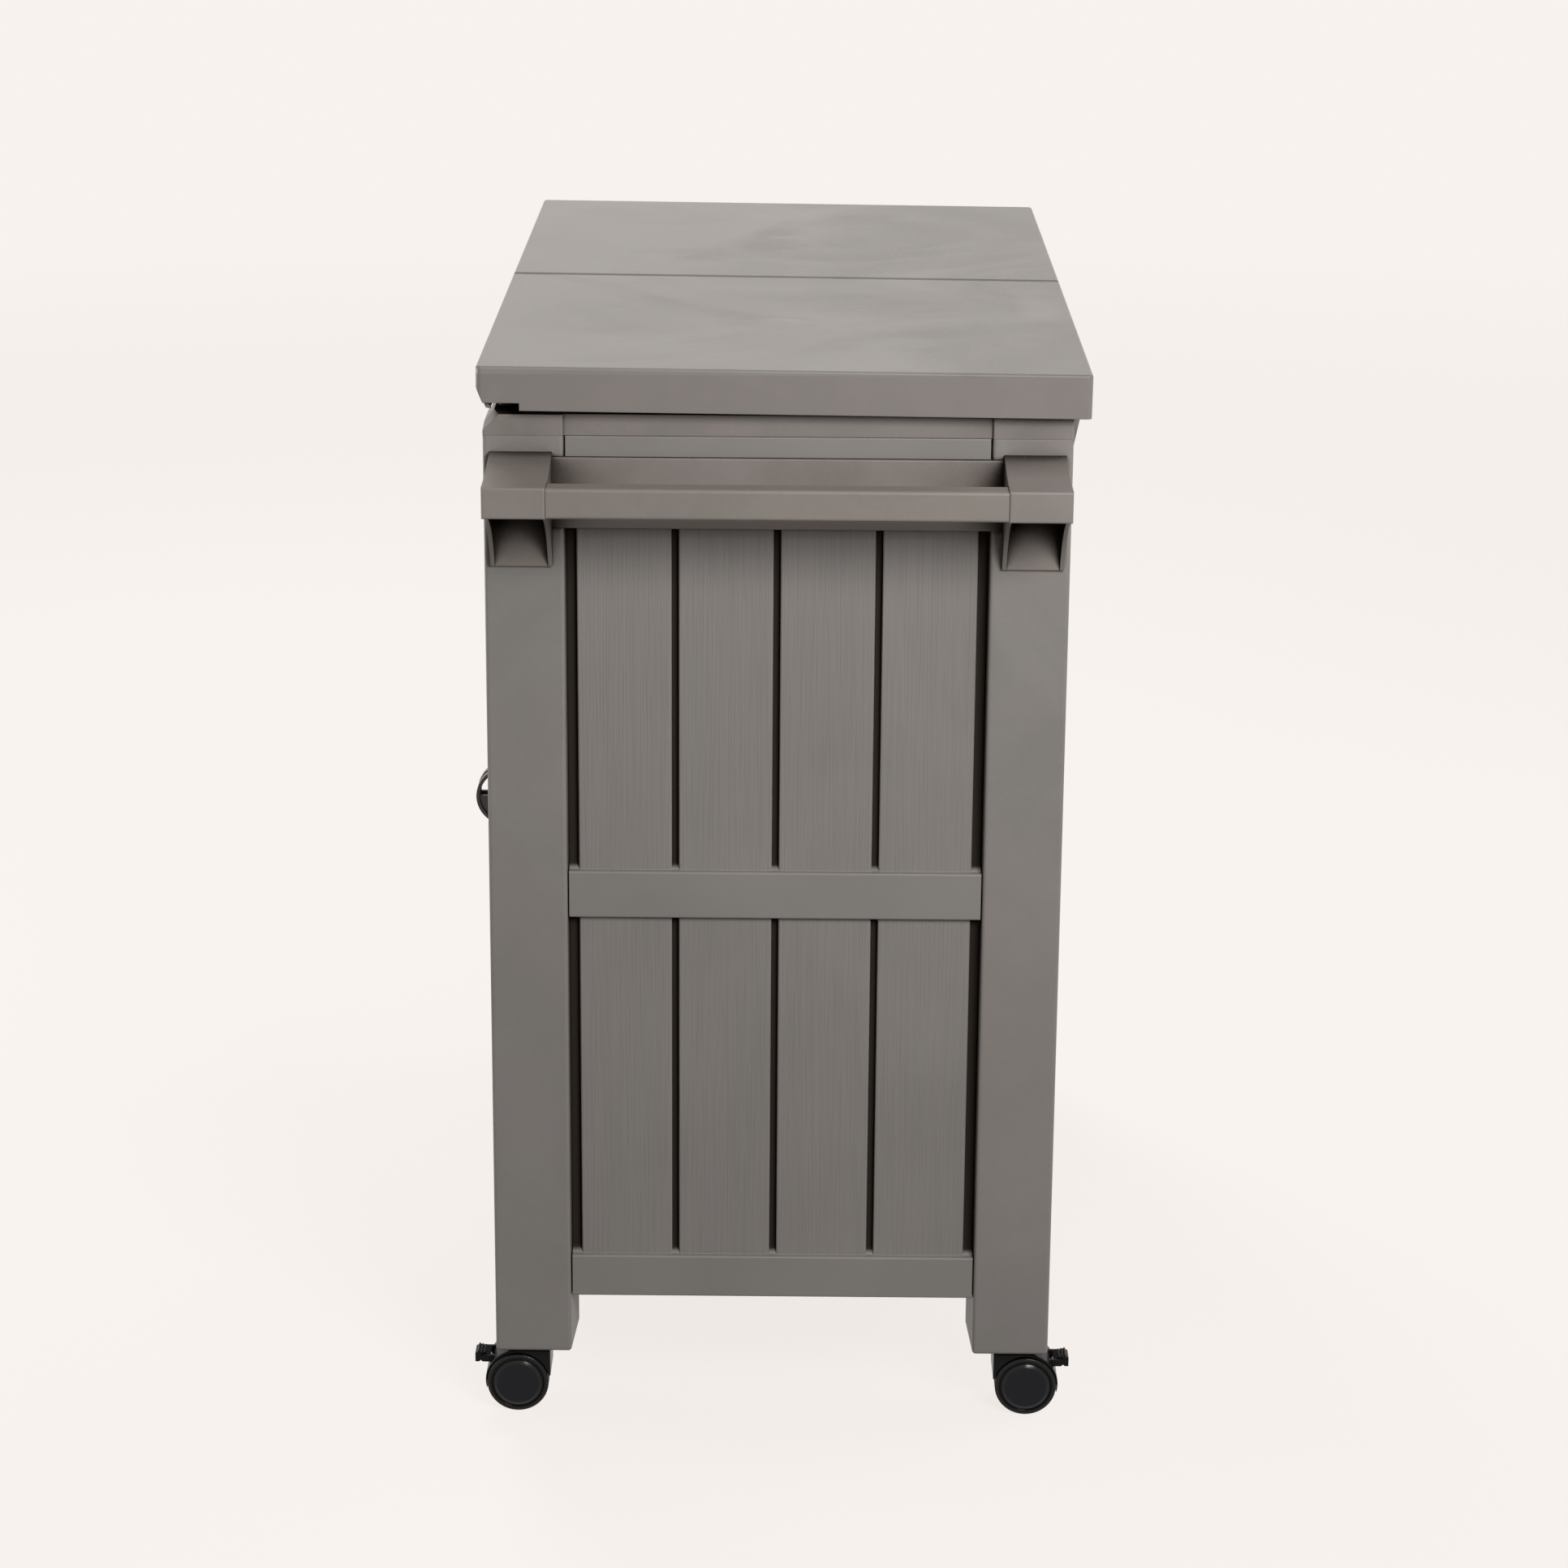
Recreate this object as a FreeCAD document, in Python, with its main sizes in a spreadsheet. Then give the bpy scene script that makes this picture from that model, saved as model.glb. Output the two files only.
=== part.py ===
import FreeCAD, Part
import math
import operator
import os
import Sketcher

# Outdoor bar cart in moulded resin, millimetres, +Z up
# The length runs along X with the handle at +X, the doors face -Y and the lids are hinged at +Y
# The origin is on the floor, under the middle of the whole cart's box
doc = FreeCAD.newDocument("bar_cart")

# Driving dimensions
sizes = {
    # cabinet and posts
    "body_length": 844,
    "body_width": 465,
    "post_depth": 64,
    "post_width": 63.5,
    "post_draft": 3.5,
    "post_wall": 4,
    "post_round": 3,
    "foot_plate": 10,
    "fit_gap": 0.25,
    # top frame
    "rim_height": 17,
    "rim_recess": 3,
    "rim_beam": 34,
    "rim_round": 1.5,
    "cross_bar": 30,
    "chamfer_rise": 10,
    "chamfer_run": 8,
    "corner_rise": 13.5,
    "corner_run": 13,
    "corner_length": 22,
    "rebate_depth": 3,
    "rebate_width": 8,
    # lids
    "lid_top": 900,
    "lid_skirt": 35,
    "lid_wall": 3.5,
    "lid_seam": 7,
    "lid_end_overhang": 12,
    "lid_front_overhang": 4,
    "lid_behind_hinge": 7,
    "lid_fall": 3.5,
    "lid_round": 2.2,
    "lid_corner": 4.5,
    "lip_height": 17,
    "lip_bevel": 7.5,
    "lip_rise": 1,
    "notch_length": 34,
    "notch_height": 6,
    "rib_depth": 10,
    "rib_wall": 2.5,
    "bumper_height": 2,
    "bumper_radius": 6,
    "bumper_inset": 40,
    "bumper_play": 0.1,
    "stop_width": 14,
    # lid hinges
    "hinge_out": 6,
    "hinge_rise": 7,
    "hinge_pin_radius": 2.5,
    "knuckle_radius": 5.5,
    "hinge_width": 30,
    "hinge_drop": 76,
    "hinge_taper": 15,
    "hinge_toe": 2,
    "hinge_inset": 105,
    "lug_width": 8,
    "lug_gap": 0.4,
    "swing_room": 2.5,
    # plank panels
    "rail_recess": 3.5,
    "plank_recess": 9,
    "groove_depth": 6,
    "panel_back": 4,
    "edge_groove": 8,
    "groove_width": 5.7,
    "plank_round": 1.5,
    "rail_round": 1.5,
    "apron_rise": 50,
    "bottom_rail_height": 36.5,
    "lower_plank_length": 299,
    "middle_rail_height": 39.5,
    "top_rail_height": 45,
    "facet_rise": 5,
    # floor, shelf and trays
    "floor_rise": 10,
    "floor_thickness": 6,
    "shelf_thickness": 6,
    "shelf_lip": 10,
    "support_length": 40,
    "support_height": 12,
    "tray_depth": 95,
    "tray_wall": 3,
    "tray_room": 2,
    "tray_round": 5,
    "tray_flange": 2.6,
    # doors
    "door_thickness": 14,
    "door_gap": 3,
    "front_rail_height": 40,
    "door_rail_height": 36,
    "hinge_stile": 24,
    "meeting_stile": 46,
    "door_pin_radius": 3,
    "door_pin_depth": 12,
    "door_pin_collar": 5.5,
    "pin_play": 0.05,
    "catch_depth": 12,
    "catch_height": 12,
    "catch_lap": 8,
    "strike_length": 11,
    "strike_thickness": 1.2,
    "catch_play": 0.3,
    # door pulls
    "pull_reach": 46.8,
    "pull_inset": 8,
    "pull_radius": 27.3,
    "pull_strap": 3.2,
    "pull_width": 8,
    "pull_drop": 22.5,
    "pull_foot": 14,
    "pull_foot_thickness": 3,
    "pull_screw_radius": 2,
    "pull_screw_head": 3,
    "pull_screw_rise": 2,
    # handle
    "handle_reach": 90,
    "handle_drop": 12.5,
    "handle_foot_drop": 104.5,
    "arm_inset": 5.2,
    "arm_width": 49.3,
    "arm_wall": 3.5,
    "arm_round": 1.5,
    "arm_dip": 2.5,
    "cove_dip": 13,
    "cove_toe": 4,
    "bar_drop": 22,
    "bar_height": 24.5,
    "bar_depth": 22,
    "bar_round": 2.5,
    "bar_step": 0.6,
    "back_rail_drop": 16,
    "back_rail_height": 57.5,
    "back_rail_thickness": 4,
    "handle_screw_radius": 2.5,
    "handle_screw_head": 5,
    "handle_screw_rise": 3,
    "handle_screw_length": 12,
    # casters
    "wheel_radius": 26,
    "wheel_width": 15,
    "wheel_round": 3.5,
    "wheel_gap": 0.5,
    "hub_radius": 19,
    "hub_rise": 1.4,
    "hub_rim": 2.5,
    "web_width": 13,
    "trail": 14.5,
    "hood_clearance": 0.7,
    "hood_shell": 2,
    "hood_width": 40,
    "hood_round": 1,
    "hood_lift": 1.2,
    "hood_rake": 6,
    "collar_height": 5.3,
    "collar_radius": 6.8,
    "axle_radius": 3,
    "stem_radius": 4,
    "stem_depth": 28,
    "socket_radius": 5.5,
    "socket_depth": 34,
    "boss_wall": 4,
    "pedal_standoff": 5.3,
    "pedal_back": 2.5,
    "pedal_length": 7.6,
    "pedal_width": 16,
    "pedal_thickness": 6,
    "pedal_crown": 5.2,
    "pedal_brow": 3.4,
    "pedal_nose": 3,
    "pedal_heel": 5.6,
    "pedal_tip": 3.2,
    "pedal_tip_drop": 4.2,
    "pedal_rib_radius": 0.8,
    "pedal_pin_radius": 1.5,
    "ear_width": 2.5,
    "ear_gap": 0.4,
}
end_planks = 4
back_planks = 8
door_planks = 4
lid_rib_count = 3
pedal_ribs = 3
pedal_slope = math.radians(30)

sheet = doc.addObject("Spreadsheet::Sheet", "Dims")
for row, (alias, number) in enumerate(sizes.items(), 1):
    sheet.set(f"A{row}", alias.replace("_", " "))
    sheet.set(f"B{row}", str(number))
    sheet.setAlias(f"B{row}", alias)
doc.recompute()


# A length that knows both its value and the expression that binds it to the sheet
class Size:
    def __init__(self, text, value):
        self.text = text
        self.value = value

    def __add__(self, other):
        return joined(self, "+", other)

    def __radd__(self, other):
        return joined(other, "+", self)

    def __sub__(self, other):
        return joined(self, "-", other)

    def __rsub__(self, other):
        return joined(other, "-", self)

    def __mul__(self, other):
        return joined(self, "*", other)

    def __rmul__(self, other):
        return joined(other, "*", self)

    def __truediv__(self, other):
        return joined(self, "/", other)

    def __neg__(self):
        return joined(0, "-", self)


signs = {"+": operator.add, "-": operator.sub, "*": operator.mul, "/": operator.truediv}


def as_size(number):
    if isinstance(number, Size):
        return number
    return Size(f"({number})", float(number))


def joined(left, sign, right):
    left = as_size(left)
    right = as_size(right)
    return Size(f"({left.text} {sign} {right.text})", signs[sign](left.value, right.value))


class Dims:
    pass


d = Dims()
for alias in sizes:
    setattr(d, alias, Size(f"Dims.{alias}", float(sheet.get(alias))))

# Places that many pieces share, from the middle of the cabinet and the floor
half_length = d.body_length / 2
half_width = d.body_width / 2
post_in_x = half_length - d.post_depth
post_in_y = half_width - d.post_width
leg_x = half_length - d.post_depth / 2
leg_y = half_width - d.post_width / 2
hood_radius = d.wheel_radius + d.hood_clearance + d.hood_shell
hood_top = d.wheel_radius + hood_radius
leg_bottom = hood_top + d.collar_height
lid_low = d.lid_top - d.lid_skirt
rim_top = lid_low - d.bumper_height
post_top = rim_top - d.rim_height
bottom_rail_low = leg_bottom + d.apron_rise
bottom_rail_top = bottom_rail_low + d.bottom_rail_height
middle_rail_low = bottom_rail_top + d.lower_plank_length
middle_rail_top = middle_rail_low + d.middle_rail_height
top_rail_low = post_top - d.top_rail_height
panel_depth = d.plank_recess + d.groove_depth + d.panel_back
door_front = half_width - d.rail_recess
door_back = door_front - d.door_thickness
front_rail_low = post_top - d.front_rail_height
pedal_out = (hood_radius + d.pedal_standoff) * math.cos(pedal_slope)
pedal_z = d.wheel_radius + (hood_radius + d.pedal_standoff) * math.sin(pedal_slope)

# The origin lies under the middle of the box: handle to far lid edge, pull to back pedal
shift_x = (d.lid_end_overhang - d.handle_reach) / 2
shift_y = (door_front + d.pull_reach - leg_y - d.trail - pedal_out - d.pedal_length) / 2

nodes = []


# Adds a finished piece to the list that is checked and written
def keep(piece, label):
    piece.Label = label
    nodes.append(piece)
    return piece


def bind(piece, **places):
    for name, size in places.items():
        piece.setExpression(name.replace("__", "."), as_size(size).text)


# Places a piece in the cart; the shift brings the origin under the middle of the box
def put(piece, x, y, z):
    bind(piece, Placement__Base__x=x + shift_x, Placement__Base__y=y + shift_y, Placement__Base__z=z)


def ordered(pair):
    return sorted((as_size(pair[0]), as_size(pair[1])), key=lambda size: size.value)


# A block between two corners
def box(name, x, y, z):
    block = doc.addObject("Part::Box", name)
    low_x, high_x = ordered(x)
    low_y, high_y = ordered(y)
    low_z, high_z = ordered(z)
    bind(block, Length=high_x - low_x, Width=high_y - low_y, Height=high_z - low_z)
    put(block, low_x, low_y, low_z)
    return block


# A round bar along one axis, from low to high, through the two other coordinates in X, Y, Z order
def rod(name, axis, radius, low, high, first, second):
    bar = doc.addObject("Part::Cylinder", name)
    low, high = ordered((low, high))
    places = {"x": (low, first, second), "y": (first, low, second), "z": (first, second, low)}
    ways = {"x": FreeCAD.Vector(1, 0, 0), "y": FreeCAD.Vector(0, 1, 0), "z": FreeCAD.Vector(0, 0, 1)}
    turn = FreeCAD.Rotation(FreeCAD.Vector(0, 0, 1), ways[axis])
    bar.Placement = FreeCAD.Placement(FreeCAD.Vector(), turn)
    bind(bar, Radius=radius, Height=high - low)
    put(bar, *places[axis])
    return bar


def fuse(name, pieces):
    joint = doc.addObject("Part::MultiFuse", name)
    joint.Shapes = pieces
    joint.Refine = True
    return joint


def cut(name, base, tools):
    remainder = doc.addObject("Part::Cut", name)
    remainder.Base = base
    remainder.Tool = tools[0] if len(tools) == 1 else fuse(f"{name}_tools", tools)
    remainder.Refine = True
    return remainder


def group(name, pieces):
    bundle = doc.addObject("Part::Compound", name)
    bundle.Links = pieces
    return bundle


# Tests that choose edges for rounding: the way an edge runs, and the side of the piece that it lies on
def runs(edge, axis):
    ends = [vertex.Point for vertex in edge.Vertexes]
    if len(ends) < 2:
        return False
    way = ends[1] - ends[0]
    length = {"x": way.x, "y": way.y, "z": way.z}[axis]
    return abs(abs(length) - edge.Length) < 1e-6


def lies(edge, shape, side):
    bounds = shape.BoundBox
    edges = edge.BoundBox
    places = {
        "+x": (edges.XMin, bounds.XMax), "-x": (edges.XMax, bounds.XMin),
        "+y": (edges.YMin, bounds.YMax), "-y": (edges.YMax, bounds.YMin),
        "+z": (edges.ZMin, bounds.ZMax), "-z": (edges.ZMax, bounds.ZMin),
    }
    at, limit = places[side]
    return abs(at - limit) < 1e-4


def upright_or_under(edge, shape):
    return runs(edge, "z") or lies(edge, shape, "-z")


def on_either_end(edge, shape):
    return lies(edge, shape, "+x") or lies(edge, shape, "-x")


def is_round(edge, shape):
    return len(edge.Vertexes) == 1


# Rounds the edges that the test chooses
def rounded(name, base, radius, chosen):
    doc.recompute()
    shape = base.Shape
    smooth = doc.addObject("Part::Fillet", name)
    smooth.Base = base
    picked = [number for number, edge in enumerate(shape.Edges, 1) if chosen(edge, shape)]
    smooth.Edges = [(number, radius.value, radius.value) for number in picked]
    return smooth


# Rounds the edges along one axis on one side of a piece
def rounded_along(name, base, radius, axis, side):
    return rounded(name, base, radius, lambda edge, shape: runs(edge, axis) and lies(edge, shape, side))


def hold_point(sketch, curve, point, x, y):
    for way, size in (("DistanceX", as_size(x)), ("DistanceY", as_size(y))):
        number = sketch.addConstraint(Sketcher.Constraint(way, -1, 1, curve, point, size.value))
        sketch.setExpression(f"Constraints[{number}]", size.text)


def hold_radius(sketch, curve, radius):
    number = sketch.addConstraint(Sketcher.Constraint("Radius", curve, radius.value))
    sketch.setExpression(f"Constraints[{number}]", radius.text)


# Draws a closed outline in a sketch, each corner held to the sheet
# A corner is (x, y), or (x, y, dip) where the side to the next corner is an arc that dips to its left
def draw_outline(sketch, corners):
    first = sketch.GeometryCount
    count = len(corners)
    ends = []
    for number, corner in enumerate(corners):
        following = corners[(number + 1) % count]
        start = FreeCAD.Vector(as_size(corner[0]).value, as_size(corner[1]).value, 0)
        end = FreeCAD.Vector(as_size(following[0]).value, as_size(following[1]).value, 0)
        if len(corner) == 2:
            sketch.addGeometry(Part.LineSegment(start, end))
            ends.append((1, 2))
            continue
        dip = corner[2]
        along = end - start
        left = FreeCAD.Vector(-along.y, along.x, 0)
        left.normalize()
        sketch.addGeometry(Part.Arc(start, start + along * 0.5 + left * dip.value, end))
        ends.append((2, 1))
        run = as_size(following[0]) - corner[0]
        rise = as_size(following[1]) - corner[1]
        hold_radius(sketch, first + number, ((run * run + rise * rise) / 4 + dip * dip) / (2 * dip))
    for number in range(count):
        following = (number + 1) % count
        this_end = (first + number, ends[number][1])
        next_start = (first + following, ends[following][0])
        sketch.addConstraint(Sketcher.Constraint("Coincident", *this_end, *next_start))
    for number, corner in enumerate(corners):
        hold_point(sketch, first + number, ends[number][0], corner[0], corner[1])


def draw_circle(sketch, x, y, radius):
    centre = FreeCAD.Vector(x.value, y.value, 0)
    curve = sketch.addGeometry(Part.Circle(centre, FreeCAD.Vector(0, 0, 1), radius.value))
    hold_radius(sketch, curve, radius)
    hold_point(sketch, curve, 3, x, y)


# A sketch of a circle (x, y, radius) or an outline, on a plane of the body moved along that plane's normal
def new_sketch(body, plane, offset, drawing):
    sketch = body.newObject("Sketcher::SketchObject", f"{body.Name}_sketch")
    support = [item for item in body.Origin.OriginFeatures if item.Role == plane][0]
    sketch.AttachmentSupport = (support, [""])
    sketch.MapMode = "FlatFace"
    bind(sketch, AttachmentOffset__Base__z=offset)
    if isinstance(drawing, tuple):
        draw_circle(sketch, *drawing)
    else:
        draw_outline(sketch, drawing)
    return sketch


def new_body(name):
    body = doc.addObject("PartDesign::Body", name)
    bind(body, Placement__Base__x=shift_x, Placement__Base__y=shift_y)
    return body


# Adds material between two places along the plane's axis; the XZ plane's normal is -Y
def pad(body, plane, drawing, span):
    low, high = ordered(span)
    sketch = new_sketch(body, plane, -high if plane == "XZ_Plane" else low, drawing)
    feature = body.newObject("PartDesign::Pad", f"{body.Name}_pad")
    feature.Profile = sketch
    bind(feature, Length=high - low)
    return feature


# Takes material away in the same way, and makes sure that it did
def pocket(body, plane, drawing, span):
    doc.recompute()
    before = body.Shape.Volume
    low, high = ordered(span)
    sketch = new_sketch(body, plane, -low if plane == "XZ_Plane" else high, drawing)
    feature = body.newObject("PartDesign::Pocket", f"{body.Name}_pocket")
    feature.Profile = sketch
    bind(feature, Length=high - low)
    doc.recompute()
    if body.Shape.Volume >= before:
        raise RuntimeError(f"{body.Name}: a pocket removed nothing")
    return feature


def smooth_edges(body, feature, radius, chosen):
    doc.recompute()
    shape = feature.Shape
    names = [f"Edge{number}" for number, edge in enumerate(shape.Edges, 1) if chosen(edge, shape)]
    smooth = body.newObject("PartDesign::Fillet", f"{body.Name}_fillet")
    smooth.Base = (feature, names)
    bind(smooth, Radius=radius)
    return smooth


# Corner posts: hollow, drafted beside the end panel, with a socket for the caster's stem
def make_post(label, end, side):
    post = new_body(label)
    outline = [
        (end * half_length, side * half_width),
        (end * half_length, side * post_in_y),
        (end * post_in_x, side * (post_in_y - d.post_draft)),
        (end * post_in_x, side * half_width),
    ]
    block = pad(post, "XY_Plane", outline, (leg_bottom, post_top))
    smooth_edges(post, block, d.post_round, upright_or_under)
    hollow = [
        (end * (half_length - d.post_wall), side * (half_width - d.post_wall)),
        (end * (half_length - d.post_wall), side * (post_in_y + d.post_wall)),
        (end * (post_in_x + d.post_wall), side * (post_in_y + d.post_wall - d.post_draft)),
        (end * (post_in_x + d.post_wall), side * (half_width - d.post_wall)),
    ]
    pocket(post, "XY_Plane", hollow, (leg_bottom + d.foot_plate, post_top))
    axis = (end * leg_x, side * leg_y)
    socket = d.socket_radius + d.pin_play
    socket_top = leg_bottom + d.socket_depth
    pad(post, "XY_Plane", (*axis, socket + d.boss_wall), (leg_bottom + d.foot_plate / 2, socket_top))
    pocket(post, "XY_Plane", (*axis, socket), (leg_bottom, socket_top))
    keep(post, label)


# A block of a panel that faces one way: across its width, out from the cart's middle, and up
def slab(name, facing, across, out, up):
    way = 1 if facing[0] == "+" else -1
    depth = (way * out[0], way * out[1])
    if facing[1] == "x":
        return box(name, depth, across, up)
    return box(name, across, depth, up)


# Planks with grooves between them and rails across them, in front of one back plate
def plank_wall(name, facing, across, planks, face, back, rails, groove_ends):
    width_axis = "y" if facing[1] == "x" else "x"
    low, high = ordered(across)
    plank_face = face - d.plank_recess
    rail_face = face - d.rail_recess
    groove_floor = back + d.panel_back
    root = groove_floor - d.panel_back / 2
    up = (rails[0][0], rails[-1][1])
    pieces = [slab(f"{name}_plate", facing, (low, high), (back, groove_floor), up)]
    first = low + groove_ends[0]
    plank_width = (high - groove_ends[1] - first - (planks - 1) * d.groove_width) / planks
    for number in range(planks):
        start = first + number * (plank_width + d.groove_width)
        plank = slab(f"{name}_plank_{number}", facing, (start, start + plank_width), (root, plank_face), up)
        pieces.append(rounded_along(f"{name}_plank_round_{number}", plank, d.plank_round, "z", facing))
    for number, rail in enumerate(rails):
        beam = slab(f"{name}_rail_{number}", facing, (low, high), (root, rail_face), rail)
        pieces.append(rounded_along(f"{name}_rail_round_{number}", beam, d.rail_round, width_axis, facing))
    # A slanted facet closes the foot of every groove above a rail
    way = 1 if facing[0] == "+" else -1
    plane = "XZ_Plane" if facing[1] == "x" else "YZ_Plane"
    for number, rail in enumerate(rails[:-1]):
        outline = [
            (way * groove_floor, rail[1]),
            (way * plank_face, rail[1]),
            (way * groove_floor, rail[1] + d.facet_rise),
        ]
        facet = new_body(f"{name}_facet_{number}")
        pad(facet, plane, outline, (low, high))
        pieces.append(facet)
    return pieces


panel_rails = [
    (bottom_rail_low, bottom_rail_top),
    (middle_rail_low, middle_rail_top),
    (top_rail_low, post_top),
]
panel_grooves = (d.edge_groove, d.edge_groove)


def make_end_panel(label, facing):
    draft_at_back = d.post_draft * panel_depth / d.post_depth
    half = post_in_y - draft_at_back - d.fit_gap
    back = half_length - panel_depth
    across = (-half, half)
    pieces = plank_wall(label, facing, across, end_planks, half_length, back, panel_rails, panel_grooves)
    keep(fuse(label, pieces), label)


def make_back_panel(label):
    half = post_in_x - d.fit_gap
    back = half_width - panel_depth
    across = (-half, half)
    pieces = plank_wall(label, "+y", across, back_planks, half_width, back, panel_rails, panel_grooves)
    keep(fuse(label, pieces), label)


# Places of the doors, their pivots and the catch behind them
door_low = bottom_rail_top + d.door_gap
door_high = front_rail_low - d.door_gap
door_axis_x = post_in_x - d.door_gap - d.door_thickness / 2
door_axis_y = -(door_front - d.door_thickness / 2)
catch_front = door_back - d.strike_thickness - d.catch_play
pull_middle = d.pull_inset
pull_centre = middle_rail_low - d.pull_drop


# Front rails over and under the doors, with the sockets of the doors' pivot pins
def make_front_rail(label, low, high, pin_span):
    half = post_in_x - d.fit_gap
    beam = slab(f"{label}_beam", "-y", (-half, half), (catch_front, door_front), (low, high))
    smooth = rounded_along(f"{label}_round", beam, d.rail_round, "x", "-y")
    bore = d.door_pin_radius + d.pin_play
    sockets = [
        rod(f"{label}_socket_{number}", "z", bore, *pin_span, end * door_axis_x, door_axis_y)
        for number, end in enumerate((1, -1))
    ]
    keep(cut(label, smooth, sockets), label)


# Doors: planks between two stiles, turning on a barrel that is rounded about the pivot
def make_door(label, end):
    meeting = d.door_gap / 2
    rails = [
        (door_low, door_low + d.door_rail_height),
        (middle_rail_low, middle_rail_top),
        (door_high - d.door_rail_height, door_high),
    ]
    groove_ends = [d.meeting_stile + d.groove_width - meeting, d.hinge_stile + d.groove_width]
    if end < 0:
        groove_ends.reverse()
    across = (end * meeting, end * door_axis_x)
    pieces = plank_wall(label, "-y", across, door_planks, half_width, door_back, rails, groove_ends)
    depth = (door_back, door_front)
    up = (door_low, door_high)
    stile = slab(f"{label}_meeting", "-y", (end * meeting, end * d.meeting_stile), depth, up)
    pieces.append(rounded_along(f"{label}_meeting_round", stile, d.rail_round, "z", "-y"))
    stile_end = door_axis_x - d.hinge_stile
    pieces.append(slab(f"{label}_hinge", "-y", (end * stile_end, end * door_axis_x), depth, up))
    axis = (end * door_axis_x, door_axis_y)
    pieces.append(rod(f"{label}_barrel", "z", d.door_thickness / 2, *up, *axis))
    bore = d.door_pin_radius + d.pin_play
    bores = [
        rod(f"{label}_bore_low", "z", bore, door_low, door_low + d.door_pin_depth, *axis),
        rod(f"{label}_bore_high", "z", bore, door_high - d.door_pin_depth, door_high, *axis),
    ]
    keep(cut(label, fuse(f"{label}_whole", pieces), bores), label)


def make_door_pins(label):
    reach = d.door_pin_depth - d.fit_gap
    pins = []
    for number, end in enumerate((1, -1)):
        axis = (end * door_axis_x, door_axis_y)
        low_span = (bottom_rail_top - reach, door_low + reach)
        high_span = (door_high - reach, front_rail_low + reach)
        low_pin = rod(f"low_pin_{number}", "z", d.door_pin_radius, *low_span, *axis)
        collar = rod(f"pin_collar_{number}", "z", d.door_pin_collar, bottom_rail_top, door_low, *axis)
        pins.append(fuse(f"low_pin_whole_{number}", [low_pin, collar]))
        pins.append(rod(f"high_pin_{number}", "z", d.door_pin_radius, *high_span, *axis))
    keep(group(label, pins), label)


# Bow pull: a strap bent round an open eye, half closed by a web, on a foot plate
def make_pull(label, end):
    middle = end * pull_middle
    width = (middle - d.pull_width / 2, middle + d.pull_width / 2)
    wide = (middle - d.pull_width, middle + d.pull_width)
    web_width = (middle - d.pull_strap / 2, middle + d.pull_strap / 2)
    tip = door_front + d.pull_reach
    eye = tip - d.pull_radius
    inner = d.pull_radius - d.pull_strap
    web_radius = d.pull_radius - d.pull_strap / 2
    foot_face = door_front + d.pull_foot_thickness
    foot_reach = d.pull_radius + d.pull_foot
    outer_up = (pull_centre - d.pull_radius, pull_centre + d.pull_radius)
    bow = fuse(f"{label}_blank", [
        rod(f"{label}_ring", "x", d.pull_radius, *width, -eye, pull_centre),
        slab(f"{label}_legs", "-y", width, (door_front, eye), outer_up),
    ])
    bow = cut(f"{label}_bow", bow, [
        rod(f"{label}_hole", "x", inner, *wide, -eye, pull_centre),
        slab(f"{label}_gap", "-y", wide, (foot_face, eye), (pull_centre - inner, pull_centre + inner)),
        slab(f"{label}_behind", "-y", wide, (eye - d.pull_radius, door_front), outer_up),
    ])
    web = doc.addObject("Part::Common", f"{label}_web")
    lower_half = (pull_centre - d.pull_radius, pull_centre)
    web_up = (pull_centre - web_radius, pull_centre)
    web.Base = slab(f"{label}_web_block", "-y", web_width, (door_front, tip), lower_half)
    web.Tool = fuse(f"{label}_web_blank", [
        rod(f"{label}_web_ring", "x", web_radius, *web_width, -eye, pull_centre),
        slab(f"{label}_web_legs", "-y", web_width, (door_front, eye), web_up),
    ])
    foot_up = (pull_centre - foot_reach, pull_centre + foot_reach)
    foot = slab(f"{label}_foot", "-y", width, (door_front, foot_face), foot_up)
    keep(fuse(label, [bow, web, foot]), label)


# Round-headed screws through the pull's foot into the door
def make_pull_screws(label, end):
    face = door_front + d.pull_foot_thickness
    crown = face + d.pull_screw_rise
    tip = door_front - d.door_thickness / 2
    screws = []
    for number, side in enumerate((1, -1)):
        axis = (end * pull_middle, pull_centre + side * (d.pull_radius + d.pull_foot / 2))
        head = rod(f"{label}_head_{number}", "y", d.pull_screw_head, -face, -crown, *axis)
        dome = rounded(
            f"{label}_dome_{number}", head, d.pull_screw_rise / 2, lambda edge, shape: lies(edge, shape, "-y")
        )
        shank = rod(f"{label}_shank_{number}", "y", d.pull_screw_radius, -tip, -face, *axis)
        screws.append(fuse(f"{label}_screw_{number}", [dome, shank]))
    keep(group(label, screws), label)


# Magnetic catch between the trays, on the back of the top rail, and a strike plate on each door
def make_catch(label):
    half = d.cross_bar / 2 - d.fit_gap
    up = (door_high - d.catch_lap, front_rail_low + d.catch_height)
    keep(slab(label, "-y", (-half, half), (catch_front - d.catch_depth, catch_front), up), label)


def make_strike(label, end):
    across = (end * d.door_gap, end * (d.door_gap + d.strike_length))
    up = (door_high - d.catch_lap, door_high - d.fit_gap)
    keep(slab(label, "-y", across, (door_back - d.strike_thickness, door_back), up), label)


# Faces of the top frame and of the two openings that hold the trays
frame_x = half_length - d.rim_recess
frame_y = half_width - d.rim_recess
tray_x = post_in_x - d.tray_room
tray_y = frame_y - d.rim_beam


# Section of the bevel along the frame's front edge
def front_bevel(run, rise):
    return [
        (-half_width, rim_top - rise),
        (-half_width, rim_top),
        (-half_width + run, rim_top),
    ]


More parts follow.
